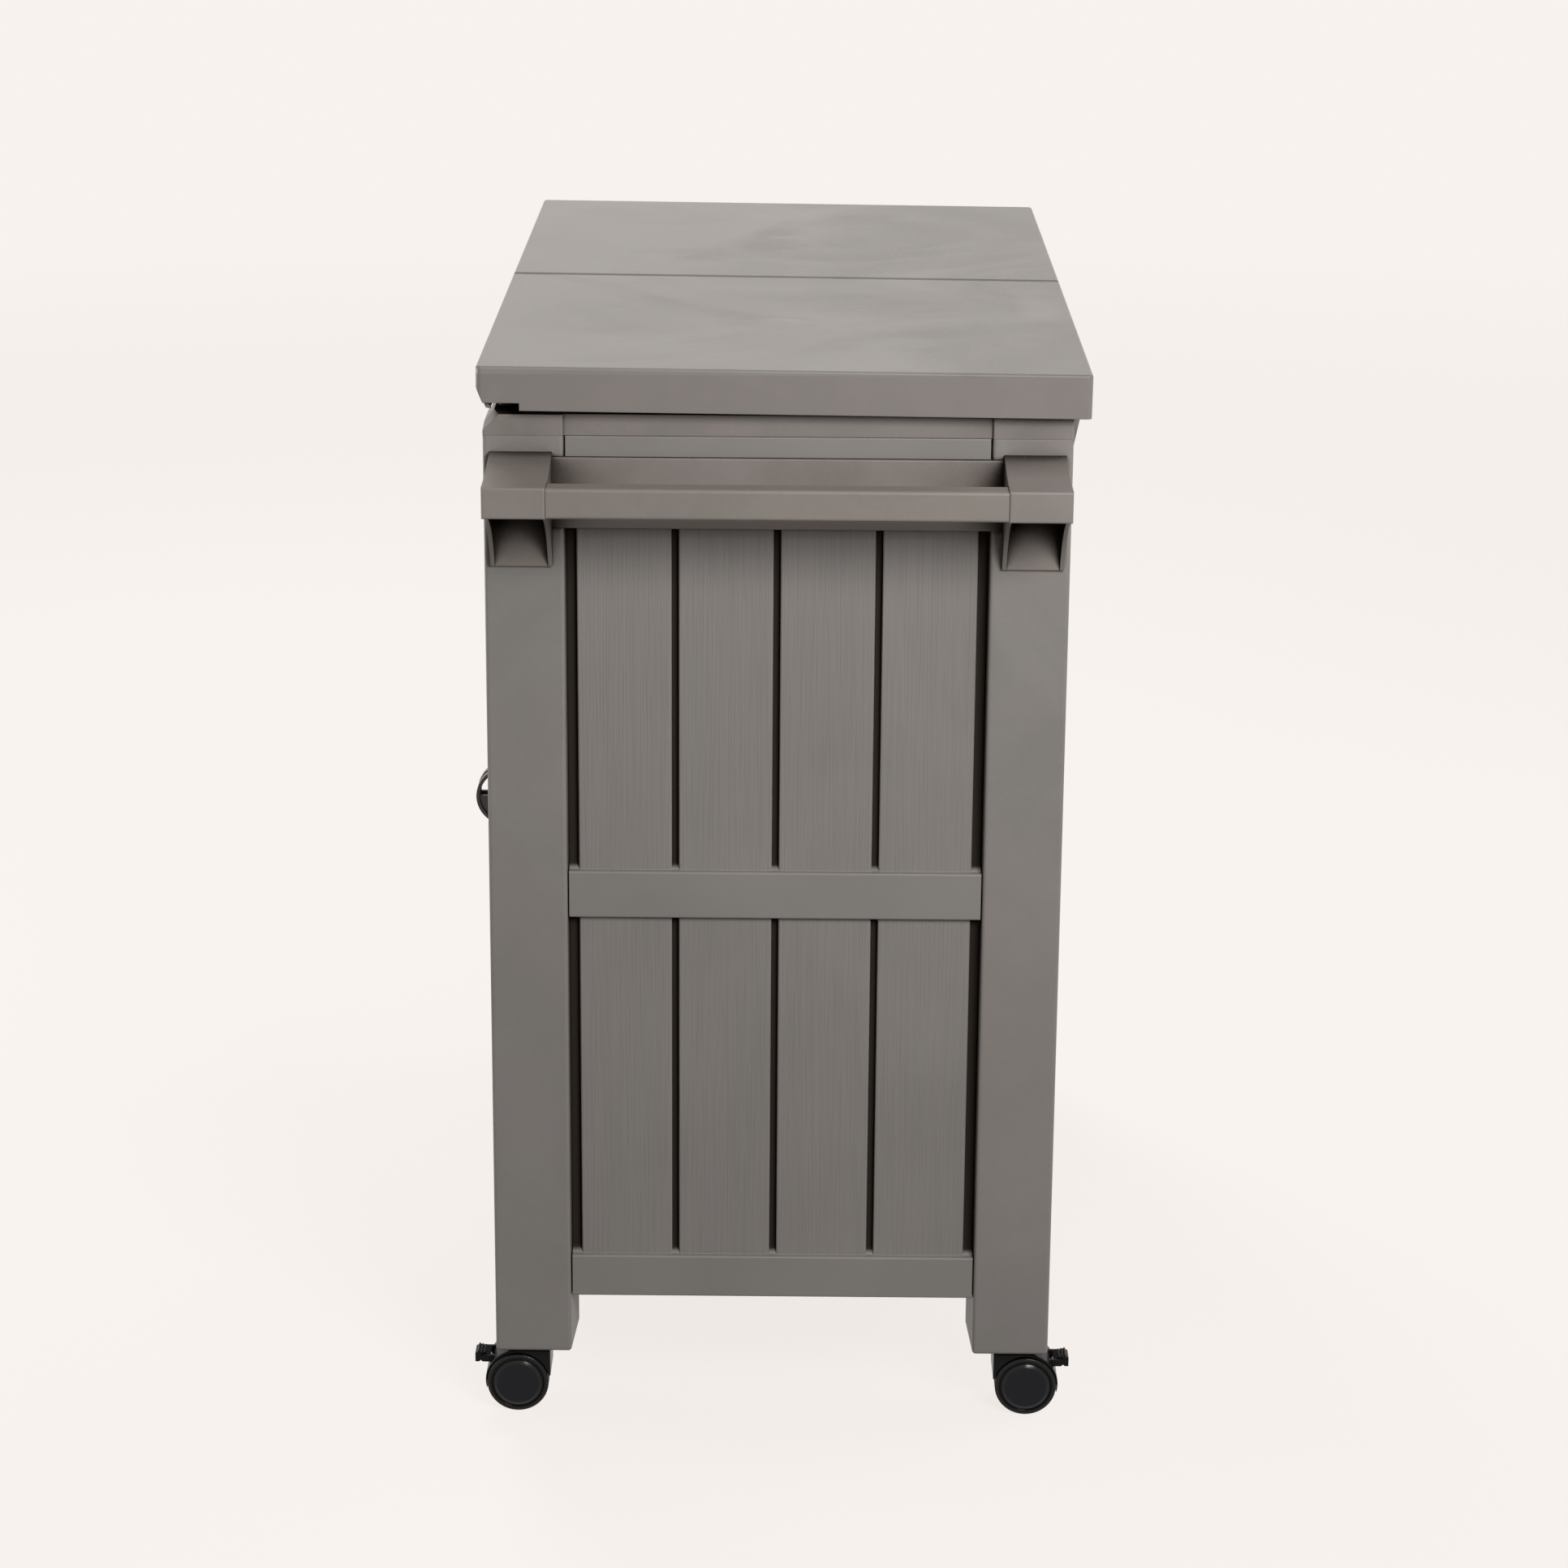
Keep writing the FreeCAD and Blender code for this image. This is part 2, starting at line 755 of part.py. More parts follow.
# Top frame: corner blocks over the posts, beams set back between them, a bar under the lids' seam
def make_top_frame(label):
    up = (post_top, rim_top)
    pieces = [box(f"{label}_bar", (-d.cross_bar / 2, d.cross_bar / 2), (-frame_y, frame_y), up)]
    for number, side in enumerate((1, -1)):
        beam_x = (side * tray_x, side * frame_x)
        beam_y = (side * tray_y, side * frame_y)
        pieces.append(box(f"{label}_long_{number}", (-frame_x, frame_x), beam_y, up))
        pieces.append(box(f"{label}_short_{number}", beam_x, (-frame_y, frame_y), up))
        for corner_number, end in enumerate((1, -1)):
            name = f"{label}_corner_{number}_{corner_number}"
            across_x = (end * post_in_x, end * half_length)
            across_y = (side * post_in_y, side * half_width)
            corner = box(name, across_x, across_y, up)
            pieces.append(rounded(f"{name}_round", corner, d.rim_round, lambda edge, shape: runs(edge, "z")))
    chamfer = new_body(f"{label}_chamfer")
    bevel = front_bevel(d.chamfer_run, d.chamfer_rise)
    pad(chamfer, "YZ_Plane", bevel, (-half_length, half_length))
    cuts = [chamfer]
    rebate_y = tray_y + d.rebate_width
    for number, end in enumerate((1, -1)):
        # The bevel widens to a facet at the frame's ends
        facet = new_body(f"{label}_facet_{number}")
        loft = facet.newObject("PartDesign::AdditiveLoft", f"{label}_facet_loft_{number}")
        wide = front_bevel(d.corner_run, d.corner_rise)
        loft.Profile = new_sketch(facet, "YZ_Plane", end * half_length, wide)
        loft.Sections = [new_sketch(facet, "YZ_Plane", end * (half_length - d.corner_length), bevel)]
        loft.Ruled = True
        facet.Tip = loft
        cuts.append(facet)
        rebate_x = (end * (d.cross_bar / 2 - d.rebate_width), end * (tray_x + d.rebate_width))
        rebate_up = (rim_top - d.rebate_depth, rim_top)
        cuts.append(box(f"{label}_rebate_{number}", rebate_x, (-rebate_y, rebate_y), rebate_up))
    keep(cut(label, fuse(f"{label}_ring", pieces), cuts), label)


# Drop-in tray under one lid, hung by its flange in the frame's rebate
def make_tray(label, end):
    low = d.cross_bar / 2 + d.fit_gap
    high = tray_x - d.fit_gap
    half = tray_y - d.fit_gap
    lap = d.rebate_width - 2 * d.fit_gap
    bottom = rim_top - d.tray_depth
    flange_low = rim_top - d.rebate_depth
    flange_top = flange_low + d.tray_flange
    shell = box(f"{label}_shell", (end * low, end * high), (-half, half), (bottom, flange_top))
    shell = rounded(f"{label}_shell_round", shell, d.tray_round, upright_or_under)
    flange_x = (end * (low - lap), end * (high + lap))
    flange = box(f"{label}_flange", flange_x, (-half - lap, half + lap), (flange_low, flange_top))
    room_x = (end * (low + d.tray_wall), end * (high - d.tray_wall))
    room_y = (-half + d.tray_wall, half - d.tray_wall)
    room = box(f"{label}_room", room_x, room_y, (bottom + d.tray_wall, flange_top + d.tray_depth))
    room = rounded(f"{label}_room_round", room, d.tray_round - d.tray_wall, upright_or_under)
    keep(cut(label, fuse(f"{label}_outer", [shell, flange]), [room]), label)


# Level boards between the posts: the cabinet's floor and its shelf, with lips and a spine under them
def make_board(label, top, thickness):
    half_x = half_length - panel_depth - d.fit_gap
    half_y = half_width - panel_depth - d.fit_gap
    front = -(catch_front - d.door_gap)
    across = (-half_x, half_x)
    depth = (top - thickness - d.shelf_lip, top)
    pieces = [
        box(f"{label}_plate", across, (front, half_y), (top - thickness, top)),
        box(f"{label}_front_lip", across, (front, front + thickness), depth),
        box(f"{label}_back_lip", across, (half_y - thickness, half_y), depth),
        box(f"{label}_spine", across, (-thickness / 2, thickness / 2), depth),
    ]
    notches = []
    for end in (1, -1):
        for side in (1, -1):
            notch_x = (end * (post_in_x - d.fit_gap), end * half_length)
            notch_y = (side * (post_in_y - d.post_draft - d.fit_gap), side * half_width)
            notches.append(box(f"{label}_notch_{len(notches)}", notch_x, notch_y, depth))
    keep(cut(label, fuse(f"{label}_blank", pieces), notches), label)


# Ledges on the end panels that carry the shelf, between its spine and its lips
def make_supports(label, under):
    face = half_length - panel_depth
    ledges = []
    for end in (1, -1):
        for side in (1, -1):
            middle = side * post_in_y / 2
            across_x = (end * (face - d.support_height), end * face)
            across_y = (middle - d.support_length / 2, middle + d.support_length / 2)
            up = (under - d.support_height, under)
            ledges.append(box(f"{label}_{len(ledges)}", across_x, across_y, up))
    keep(group(label, ledges), label)


# Lid hinges: a tapered bracket on the frame's back, a steel pin, and two lugs of the lid on each pin
hinge_y = half_width + d.hinge_out
hinge_z = lid_low + d.hinge_rise
lid_seam_edge = d.lid_seam / 2
lid_end = half_length + d.lid_end_overhang
lid_front = -(half_width + d.lid_front_overhang)
lid_back = hinge_y + d.lid_behind_hinge
hinge_outer = half_length - d.hinge_inset
hinge_places = [hinge_outer, lid_end + lid_seam_edge - hinge_outer]
lid_slope = d.lid_fall / (hinge_y - lid_front)
lug_start = d.hinge_width / 2 + d.lug_gap
lug_reach = lug_start + d.lug_width


def make_hinge_bracket(label, middle):
    outer = hinge_y + d.knuckle_radius
    inner = hinge_y - d.knuckle_radius
    foot = rim_top - d.hinge_drop
    outline = [
        (frame_y, foot),
        (frame_y + d.hinge_toe, foot),
        (outer, rim_top - d.hinge_taper),
        (outer, hinge_z),
        (inner, hinge_z),
        (inner, rim_top),
        (frame_y, rim_top),
    ]
    span = (middle - d.hinge_width / 2, middle + d.hinge_width / 2)
    arm = new_body(f"{label}_arm")
    pad(arm, "YZ_Plane", outline, span)
    knuckle = rod(f"{label}_knuckle", "x", d.knuckle_radius, *span, hinge_y, hinge_z)
    bore = rod(f"{label}_bore", "x", d.hinge_pin_radius + d.pin_play / 2, *span, hinge_y, hinge_z)
    keep(cut(label, fuse(f"{label}_whole", [arm, knuckle]), [bore]), label)


def make_hinge_pins(label):
    pins = []
    for end in (1, -1):
        for place in hinge_places:
            span = (end * place - lug_reach, end * place + lug_reach)
            pins.append(rod(f"{label}_{len(pins)}", "x", d.hinge_pin_radius, *span, hinge_y, hinge_z))
    keep(group(label, pins), label)


# Rubber bumpers in the middle of the frame's flat top, which the lids' stops rest on
def bumper_places(end):
    across = frame_y - (d.rim_beam - d.rebate_width) / 2
    return [
        (end * along, side * across)
        for along in (d.bumper_inset, half_length - d.bumper_inset)
        for side in (1, -1)
    ]


# They are taller at the front, so that the lids fall towards the hinges and rain runs off
def make_bumpers(label):
    pads = []
    for number, (x, y) in enumerate(bumper_places(1) + bumper_places(-1)):
        rise = (hinge_y - y - d.bumper_radius) * lid_slope
        top = lid_low + rise - d.bumper_play
        pads.append(rod(f"{label}_{number}", "z", d.bumper_radius, rim_top, top, x, y))
    keep(group(label, pads), label)


# Turns a level lid about its hinge until it rests on the bumpers
def lifted(level_lid):
    axis = FreeCAD.Vector(0, (hinge_y + shift_y).value, hinge_z.value)
    turn = FreeCAD.Rotation(FreeCAD.Vector(-1, 0, 0), math.degrees(math.atan(lid_slope.value)))
    level_lid.Placement = FreeCAD.Placement(FreeCAD.Vector(), turn, axis)
    return level_lid


# Lids: a skirted shell with a bevelled front lip, ribs and stops inside, and lugs for the hinge pins
def make_lid(label, end):
    ceiling = d.lid_top - d.lid_wall
    lip_inner = lid_front + d.lip_bevel + d.lid_wall
    outline = [
        (lid_front, d.lid_top),
        (lid_front, d.lid_top - d.lip_height),
        (lid_front + d.lip_bevel, lid_low + d.lip_rise),
        (lip_inner, lid_low),
        (lid_back, lid_low),
        (lid_back, d.lid_top),
    ]
    outer = new_body(f"{label}_outer")
    pad(outer, "YZ_Plane", outline, (end * lid_seam_edge, end * lid_end))
    side = "+x" if end > 0 else "-x"
    cornered = rounded(
        f"{label}_corner", outer, d.lid_corner,
        lambda edge, shape: runs(edge, "z") and lies(edge, shape, side),
    )
    smooth = rounded(f"{label}_round", cornered, d.lid_round, lambda edge, shape: lies(edge, shape, "+z"))
    hollow = [
        (lid_front + d.lid_wall, ceiling),
        (lid_front + d.lid_wall, d.lid_top - d.lip_height - d.lid_wall / 2),
        (lip_inner, lid_low + d.lip_rise),
        (lip_inner, lid_low),
        (lid_back - d.lid_wall, lid_low),
        (lid_back - d.lid_wall, ceiling),
    ]
    room = new_body(f"{label}_room")
    pad(room, "YZ_Plane", hollow, (end * (lid_seam_edge + d.lid_wall), end * (lid_end - d.lid_wall)))
    pieces = [cut(f"{label}_shell", smooth, [room])]
    pieces += lid_ribs(label, end)
    pieces += lid_stops(label, end)
    cuts = []
    for number, place in enumerate(hinge_places):
        lugs, bores = lid_lugs(f"{label}_lugs_{number}", end * place)
        pieces += lugs
        cuts += bores
        bracket_x = (end * place - lug_start, end * place + lug_start)
        bracket_y = (hinge_y - d.knuckle_radius - d.swing_room, lid_back)
        bracket_up = (lid_low, hinge_z + d.knuckle_radius + d.swing_room)
        cuts.append(box(f"{label}_bracket_room_{number}", bracket_x, bracket_y, bracket_up))
    notch_x = (end * (lid_end - 2 * d.lid_wall), end * lid_end)
    notch_y = (lid_front, lid_front + d.notch_length)
    cuts.append(box(f"{label}_notch", notch_x, notch_y, (lid_low, lid_low + d.notch_height)))
    keep(lifted(cut(label, fuse(f"{label}_filled", pieces), cuts)), label)


# A grid of ribs under the lid's top
def lid_ribs(label, end):
    bite = d.lid_wall / 2
    half = d.rib_wall / 2
    up = (d.lid_top - d.lid_wall - d.rib_depth, d.lid_top - bite)
    whole_x = (end * (lid_seam_edge + bite), end * (lid_end - bite))
    whole_y = (lid_front + bite, lid_back - bite)
    ribs = []
    for number in range(1, lid_rib_count + 1):
        share = number / (lid_rib_count + 1)
        along = end * (lid_seam_edge + (lid_end - lid_seam_edge) * share)
        across = lid_front + (lid_back - lid_front) * share
        ribs.append(box(f"{label}_cross_rib_{number}", (along - half, along + half), whole_y, up))
        ribs.append(box(f"{label}_long_rib_{number}", whole_x, (across - half, across + half), up))
    return ribs


def lid_stops(label, end):
    half = d.stop_width / 2
    up = (lid_low, d.lid_top - d.lid_wall / 2)
    return [
        box(f"{label}_stop_{number}", (x - half, x + half), (y - half, y + half), up)
        for number, (x, y) in enumerate(bumper_places(end))
    ]


# The lugs on both sides of one bracket, and the bores through them
def lid_lugs(label, middle):
    lugs = []
    bores = []
    for number, way in enumerate((1, -1)):
        name = f"{label}_{number}"
        span = (middle + way * lug_start, middle + way * lug_reach)
        across = (hinge_y - d.knuckle_radius, lid_back - d.lid_wall / 2)
        lugs.append(box(name, span, across, (hinge_z, d.lid_top - d.lid_wall / 2)))
        lugs.append(rod(f"{name}_eye", "x", d.knuckle_radius, *span, hinge_y, hinge_z))
        bores.append(rod(f"{name}_bore", "x", d.hinge_pin_radius + d.pin_play, *span, hinge_y, hinge_z))
    return lugs, bores


# Handle: two hollow swept arms on a back rail, with the bar between their cheeks
handle_tip = half_length + d.handle_reach
arm_outer = half_width - d.arm_inset
arm_inner = arm_outer - d.arm_width
arm_top = post_top - d.handle_drop
arm_foot = post_top - d.handle_foot_drop
bar_top = post_top - d.bar_drop
bar_low = bar_top - d.bar_height


def make_handle_frame(label):
    pieces = []
    hollows = []
    for number, side in enumerate((1, -1)):
        outline = [
            (half_length, arm_foot),
            (half_length + d.cove_toe, arm_foot, d.cove_dip),
            (handle_tip, bar_low),
            (handle_tip, bar_top, d.arm_dip),
            (half_length, arm_top),
        ]
        arm = new_body(f"{label}_arm_{number}")
        pad(arm, "XZ_Plane", outline, (side * arm_inner, side * arm_outer))
        name = f"{label}_arm_round_{number}"
        pieces.append(rounded(name, arm, d.arm_round, lambda edge, shape: lies(edge, shape, "+x")))
        inside = [
            (half_length + d.arm_wall, arm_foot - d.arm_wall),
            (handle_tip - d.arm_wall, arm_foot - d.arm_wall),
            (handle_tip - d.arm_wall, bar_top - d.arm_wall, d.arm_dip),
            (half_length + d.arm_wall, arm_top - d.arm_wall),
        ]
        hollow = new_body(f"{label}_hollow_{number}")
        pad(hollow, "XZ_Plane", inside, (side * (arm_inner + d.arm_wall), side * (arm_outer - d.arm_wall)))
        hollows.append(hollow)
    rail_top = post_top - d.back_rail_drop
    lap = arm_inner + d.arm_wall / 2
    rail_x = (half_length, half_length + d.back_rail_thickness)
    rail = box(f"{label}_rail", rail_x, (-lap, lap), (rail_top - d.back_rail_height, rail_top))
    pieces.append(rounded_along(f"{label}_rail_round", rail, d.arm_round, "y", "+x"))
    keep(cut(label, fuse(f"{label}_whole", pieces), hollows), label)


def make_handle_bar(label):
    front = handle_tip - d.bar_step
    bar_x = (front - d.bar_depth, front)
    blank = box(f"{label}_blank", bar_x, (-arm_inner, arm_inner), (bar_low, bar_top - d.bar_step))
    keep(rounded(label, blank, d.bar_round, lambda edge, shape: runs(edge, "y")), label)


# Two screws inside each arm, behind the bar's end, into the post
def make_handle_screws(label):
    face = half_length + d.arm_wall
    height = (bar_low + bar_top) / 2
    screws = []
    for side in (1, -1):
        for share in (1, 2):
            number = len(screws)
            axis = (side * (arm_inner + d.arm_width * share / 3), height)
            shank_x = (face - d.handle_screw_length, face)
            head_x = (face, face + d.handle_screw_rise)
            shank = rod(f"{label}_shank_{number}", "x", d.handle_screw_radius, *shank_x, *axis)
            head = rod(f"{label}_head_{number}", "x", d.handle_screw_head, *head_x, *axis)
            screws.append(fuse(f"{label}_{number}", [head, shank]))
    keep(group(label, screws), label)


# Hooded twin-wheel casters, trailing outwards from the posts
inner_face = d.web_width / 2 + d.wheel_gap
outer_face = inner_face + d.wheel_width
axle_z = d.wheel_radius


def make_caster(place, end, side, braked):
    stem_x = end * leg_x
    stem_y = side * leg_y
    wheel_y = side * (leg_y + d.trail)
    make_stem(f"caster_stem_{place}", stem_x, stem_y)
    make_hood(f"caster_hood_{place}", stem_x, stem_y, wheel_y, side, braked)
    make_wheels(f"caster_wheels_{place}", stem_x, wheel_y)
    reach = outer_face - d.hub_rim
    axle = f"caster_axle_{place}"
    keep(rod(axle, "x", d.axle_radius, stem_x - reach, stem_x + reach, wheel_y, axle_z), axle)
    if braked:
        make_pedal(f"brake_pedal_{place}", stem_x, wheel_y, side)


# Stem: a pin that the hood turns on, a collar under the post and a plug in the post's socket
def make_stem(label, x, y):
    pin_up = (hood_top - d.stem_depth + d.fit_gap, leg_bottom)
    plug_up = (leg_bottom, leg_bottom + d.socket_depth - d.fit_gap)
    pieces = [
        rod(f"{label}_pin", "z", d.stem_radius, *pin_up, x, y),
        rod(f"{label}_collar", "z", d.collar_radius, hood_top + d.fit_gap, leg_bottom, x, y),
        rod(f"{label}_plug", "z", d.socket_radius, *plug_up, x, y),
    ]
    keep(fuse(label, pieces), label)


# Hood: a drum with a square shoulder round the stem, open below, with an axle boss between the wheels
def make_hood(label, x, stem_y, wheel_y, side, braked):
    span = (x - d.hood_width / 2, x + d.hood_width / 2)
    drum = hood_radius - d.hood_lift
    shell = fuse(f"{label}_blank", [
        rod(f"{label}_drum", "x", drum, *span, wheel_y, axle_z + d.hood_lift),
        box(f"{label}_shoulder", span, (wheel_y, wheel_y - side * drum), (axle_z, hood_top)),
    ])
    shell = rounded(f"{label}_round", shell, d.hood_round, on_either_end)
    if braked:
        shell = fuse(f"{label}_eared", [shell] + pedal_ears(label, x, wheel_y, side))
    reach = 2 * hood_radius
    below = [
        (wheel_y - side * reach, axle_z + 2 * d.hood_rake),
        (wheel_y + side * reach, axle_z - 2 * d.hood_rake),
        (wheel_y + side * reach, axle_z - reach),
        (wheel_y - side * reach, axle_z - reach),
    ]
    under = new_body(f"{label}_under")
    pad(under, "YZ_Plane", below, (x - d.hood_width, x + d.hood_width))
    web_x = (x - d.web_width / 2, x + d.web_width / 2)
    boss = rod(f"{label}_boss", "x", d.axle_radius + d.boss_wall, *web_x, wheel_y, axle_z)
    shell = fuse(f"{label}_bossed", [cut(f"{label}_open", shell, [under]), boss])
    stem_up = (hood_top - d.stem_depth, hood_top)
    cuts = [
        rod(f"{label}_axle_bore", "x", d.axle_radius + d.pin_play, *span, wheel_y, axle_z),
        rod(f"{label}_stem_bore", "z", d.stem_radius + d.pin_play, *stem_up, x, stem_y),
    ]
    room = d.wheel_radius + d.hood_clearance
    for number, way in enumerate((1, -1)):
        room_x = (x + way * d.web_width / 2, x + way * d.hood_width)
        cuts.append(rod(f"{label}_room_{number}", "x", room, *room_x, wheel_y, axle_z))
    keep(cut(label, shell, cuts), label)


# Two ears on the hood and the pin between them that the brake pedal turns on
def pedal_ears(label, x, wheel_y, side):
    pivot_y = wheel_y + side * pedal_out
    start = d.pedal_width / 2 + d.ear_gap
    reach = start + d.ear_width
    half = d.pedal_thickness / 2
    pieces = [rod(f"{label}_pedal_pin", "x", d.pedal_pin_radius, x - reach, x + reach, pivot_y, pedal_z)]
    for number, way in enumerate((1, -1)):
        span = (x + way * start, x + way * reach)
        root = wheel_y + side * d.hub_radius
        pieces.append(box(f"{label}_ear_{number}", span, (root, pivot_y), (pedal_z - half, pedal_z + half)))
        pieces.append(rod(f"{label}_ear_eye_{number}", "x", half, *span, pivot_y, pedal_z))
    return pieces


# Twin wheels with a raised, dished hub, on one axle
def make_wheels(label, x, wheel_y):
    wheels = []
    for number, way in enumerate((1, -1)):
        name = f"{label}_{number}"
        axis = (wheel_y, axle_z)
        inner = x + way * inner_face
        outer = x + way * outer_face
        crown = outer + way * d.hub_rise
        tread = rod(f"{name}_tread", "x", d.wheel_radius, inner, outer, *axis)
        tread = rounded(f"{name}_tread_round", tread, d.wheel_round, is_round)
        hub = rod(f"{name}_hub", "x", d.hub_radius, inner, crown, *axis)
        dish = rod(f"{name}_dish", "x", d.hub_radius - d.hub_rim, outer + way * d.hub_rise / 2, crown, *axis)
        bore = rod(f"{name}_bore", "x", d.axle_radius, inner, outer - way * d.hub_rim, *axis)
        wheels.append(cut(name, fuse(f"{name}_blank", [tread, hub]), [dish, bore]))
    keep(group(label, wheels), label)


# Arched foot pedal of a brake with ribs on its crown, turning on the pin between the hood's ears
def make_pedal(label, x, wheel_y, side):
    pivot_y = wheel_y + side * pedal_out
    half = d.pedal_thickness / 2
    throat = d.pedal_length - d.pedal_tip
    brow = d.pedal_length - d.pedal_nose
    profile = [
        (-d.pedal_back, -half),
        (half, -half),
        (throat, -d.pedal_tip_drop),
        (d.pedal_length, -d.pedal_tip_drop),
        (d.pedal_length, d.pedal_brow),
        (brow, d.pedal_crown),
        (-d.pedal_heel, half),
    ]
    span = (x - d.pedal_width / 2, x + d.pedal_width / 2)
    lever = new_body(f"{label}_lever")
    pad(lever, "YZ_Plane", [(pivot_y + side * out, pedal_z + up) for out, up in profile], span)
    pieces = [lever]
    for number in range(pedal_ribs):
        share = number / (pedal_ribs + 1)
        out = brow - (brow + d.pedal_heel) * share
        up = d.pedal_crown - (d.pedal_crown - half) * share
        place = (pivot_y + side * out, pedal_z + up)
        pieces.append(rod(f"{label}_rib_{number}", "x", d.pedal_rib_radius, *span, *place))
    bore = rod(f"{label}_bore", "x", d.pedal_pin_radius + d.pin_play, *span, pivot_y, pedal_z)
    keep(cut(label, fuse(f"{label}_whole", pieces), [bore]), label)


corners = {
    "front_handle_end": (1, -1),
    "back_handle_end": (1, 1),
    "front_far_end": (-1, -1),
    "back_far_end": (-1, 1),
}
ends = {"handle_end": 1, "far_end": -1}

for place, (end, side) in corners.items():
    make_post(f"post_{place}", end, side)
make_end_panel("end_panel_handle_end", "+x")
make_end_panel("end_panel_far_end", "-x")
make_back_panel("back_panel")
bottom_pins = (bottom_rail_top - d.door_pin_depth, bottom_rail_top)
make_front_rail("front_bottom_rail", bottom_rail_low, bottom_rail_top, bottom_pins)
top_pins = (front_rail_low, front_rail_low + d.door_pin_depth)
make_front_rail("front_top_rail", front_rail_low, post_top, top_pins)
floor_top = bottom_rail_low + d.floor_rise + d.shelf_lip + d.floor_thickness
make_board("cabinet_floor", floor_top, d.floor_thickness)
make_board("middle_shelf", middle_rail_top, d.shelf_thickness)
make_supports("shelf_supports", middle_rail_top - d.shelf_thickness)
make_top_frame("top_frame")
make_hinge_pins("lid_hinge_pins")
make_bumpers("lid_bumpers")
make_door_pins("door_pivot_pins")
make_catch("door_catch")
for place, end in ends.items():
    make_tray(f"tray_{place}", end)
    make_lid(f"lid_{place}", end)
    make_door(f"door_{place}", end)
    make_pull(f"door_pull_{place}", end)
    make_pull_screws(f"pull_screws_{place}", end)
    make_strike(f"door_strike_{place}", end)
    for number, along in enumerate(hinge_places, 1):
        make_hinge_bracket(f"lid_hinge_bracket_{place}_{number}", end * along)
make_handle_frame("handle_frame")
make_handle_bar("handle_bar")
make_handle_screws("handle_screws")
for place, (end, side) in corners.items():
    make_caster(place, end, side, end > 0)

doc.recompute()
faults = []
for item in doc.Objects:
    if "Invalid" in item.State or "Error" in item.State:
        faults.append(f"{item.Label}: {item.State}")
for piece in nodes:
    if piece.Shape.isNull() or not piece.Shape.isValid():
        faults.append(f"{piece.Label}: no valid shape")
if faults:
    raise RuntimeError("; ".join(faults))

os.makedirs("parts", exist_ok=True)
for piece in nodes:
    piece.Shape.exportStep(f"parts/{piece.Label}.step")
    print(piece.Label, len(piece.Shape.Solids), round(piece.Shape.Volume / 1000, 1), "cubic centimetres")
print("shift", shift_x.value, shift_y.value, "pieces", len(nodes))
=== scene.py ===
import math
import bmesh
import bpy
from mathutils import Matrix, Vector


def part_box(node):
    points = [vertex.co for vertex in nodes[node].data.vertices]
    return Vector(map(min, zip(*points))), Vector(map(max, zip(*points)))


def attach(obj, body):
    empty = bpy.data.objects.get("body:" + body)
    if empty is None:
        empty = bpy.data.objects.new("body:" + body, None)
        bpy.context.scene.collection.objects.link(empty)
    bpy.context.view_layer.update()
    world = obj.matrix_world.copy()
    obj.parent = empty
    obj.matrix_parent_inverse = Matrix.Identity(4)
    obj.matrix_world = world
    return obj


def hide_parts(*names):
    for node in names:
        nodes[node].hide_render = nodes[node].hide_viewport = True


# Outdoor bar cart in taupe resin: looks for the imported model, metres, +Z up, handle at +X, doors at -Y

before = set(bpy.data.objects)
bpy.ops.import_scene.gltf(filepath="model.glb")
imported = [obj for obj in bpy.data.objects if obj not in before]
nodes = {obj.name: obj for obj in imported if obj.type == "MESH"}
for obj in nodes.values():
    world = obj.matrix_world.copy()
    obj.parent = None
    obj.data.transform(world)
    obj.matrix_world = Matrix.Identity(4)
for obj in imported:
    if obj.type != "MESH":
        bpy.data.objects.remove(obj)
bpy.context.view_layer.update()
ends = ("handle_end", "far_end")
corners = [f"{side}_{end}" for end in ends for side in ("front", "back")]
mm = 0.001


# Shader sockets that do arithmetic: an expression adds its Math nodes
class Wire:
    def __init__(self, finish, socket):
        self.finish = finish
        self.socket = socket

    def maths(self, operation, *values):
        return self.finish.add("ShaderNodeMath", {"operation": operation}, dict(enumerate(values)))

    def __add__(self, other):
        return self.maths("ADD", self, other)

    def __sub__(self, other):
        return self.maths("SUBTRACT", self, other)

    def __rsub__(self, other):
        return self.maths("SUBTRACT", other, self)

    def __mul__(self, other):
        return self.maths("MULTIPLY", self, other)

    def __truediv__(self, other):
        return self.maths("DIVIDE", self, other)

    def __rtruediv__(self, other):
        return self.maths("DIVIDE", other, self)

    def __pow__(self, other):
        return self.maths("POWER", self, other)

    def __gt__(self, other):
        return self.maths("GREATER_THAN", self, other)

    def __lt__(self, other):
        return self.maths("LESS_THAN", self, other)

    __radd__ = __add__
    __rmul__ = __mul__


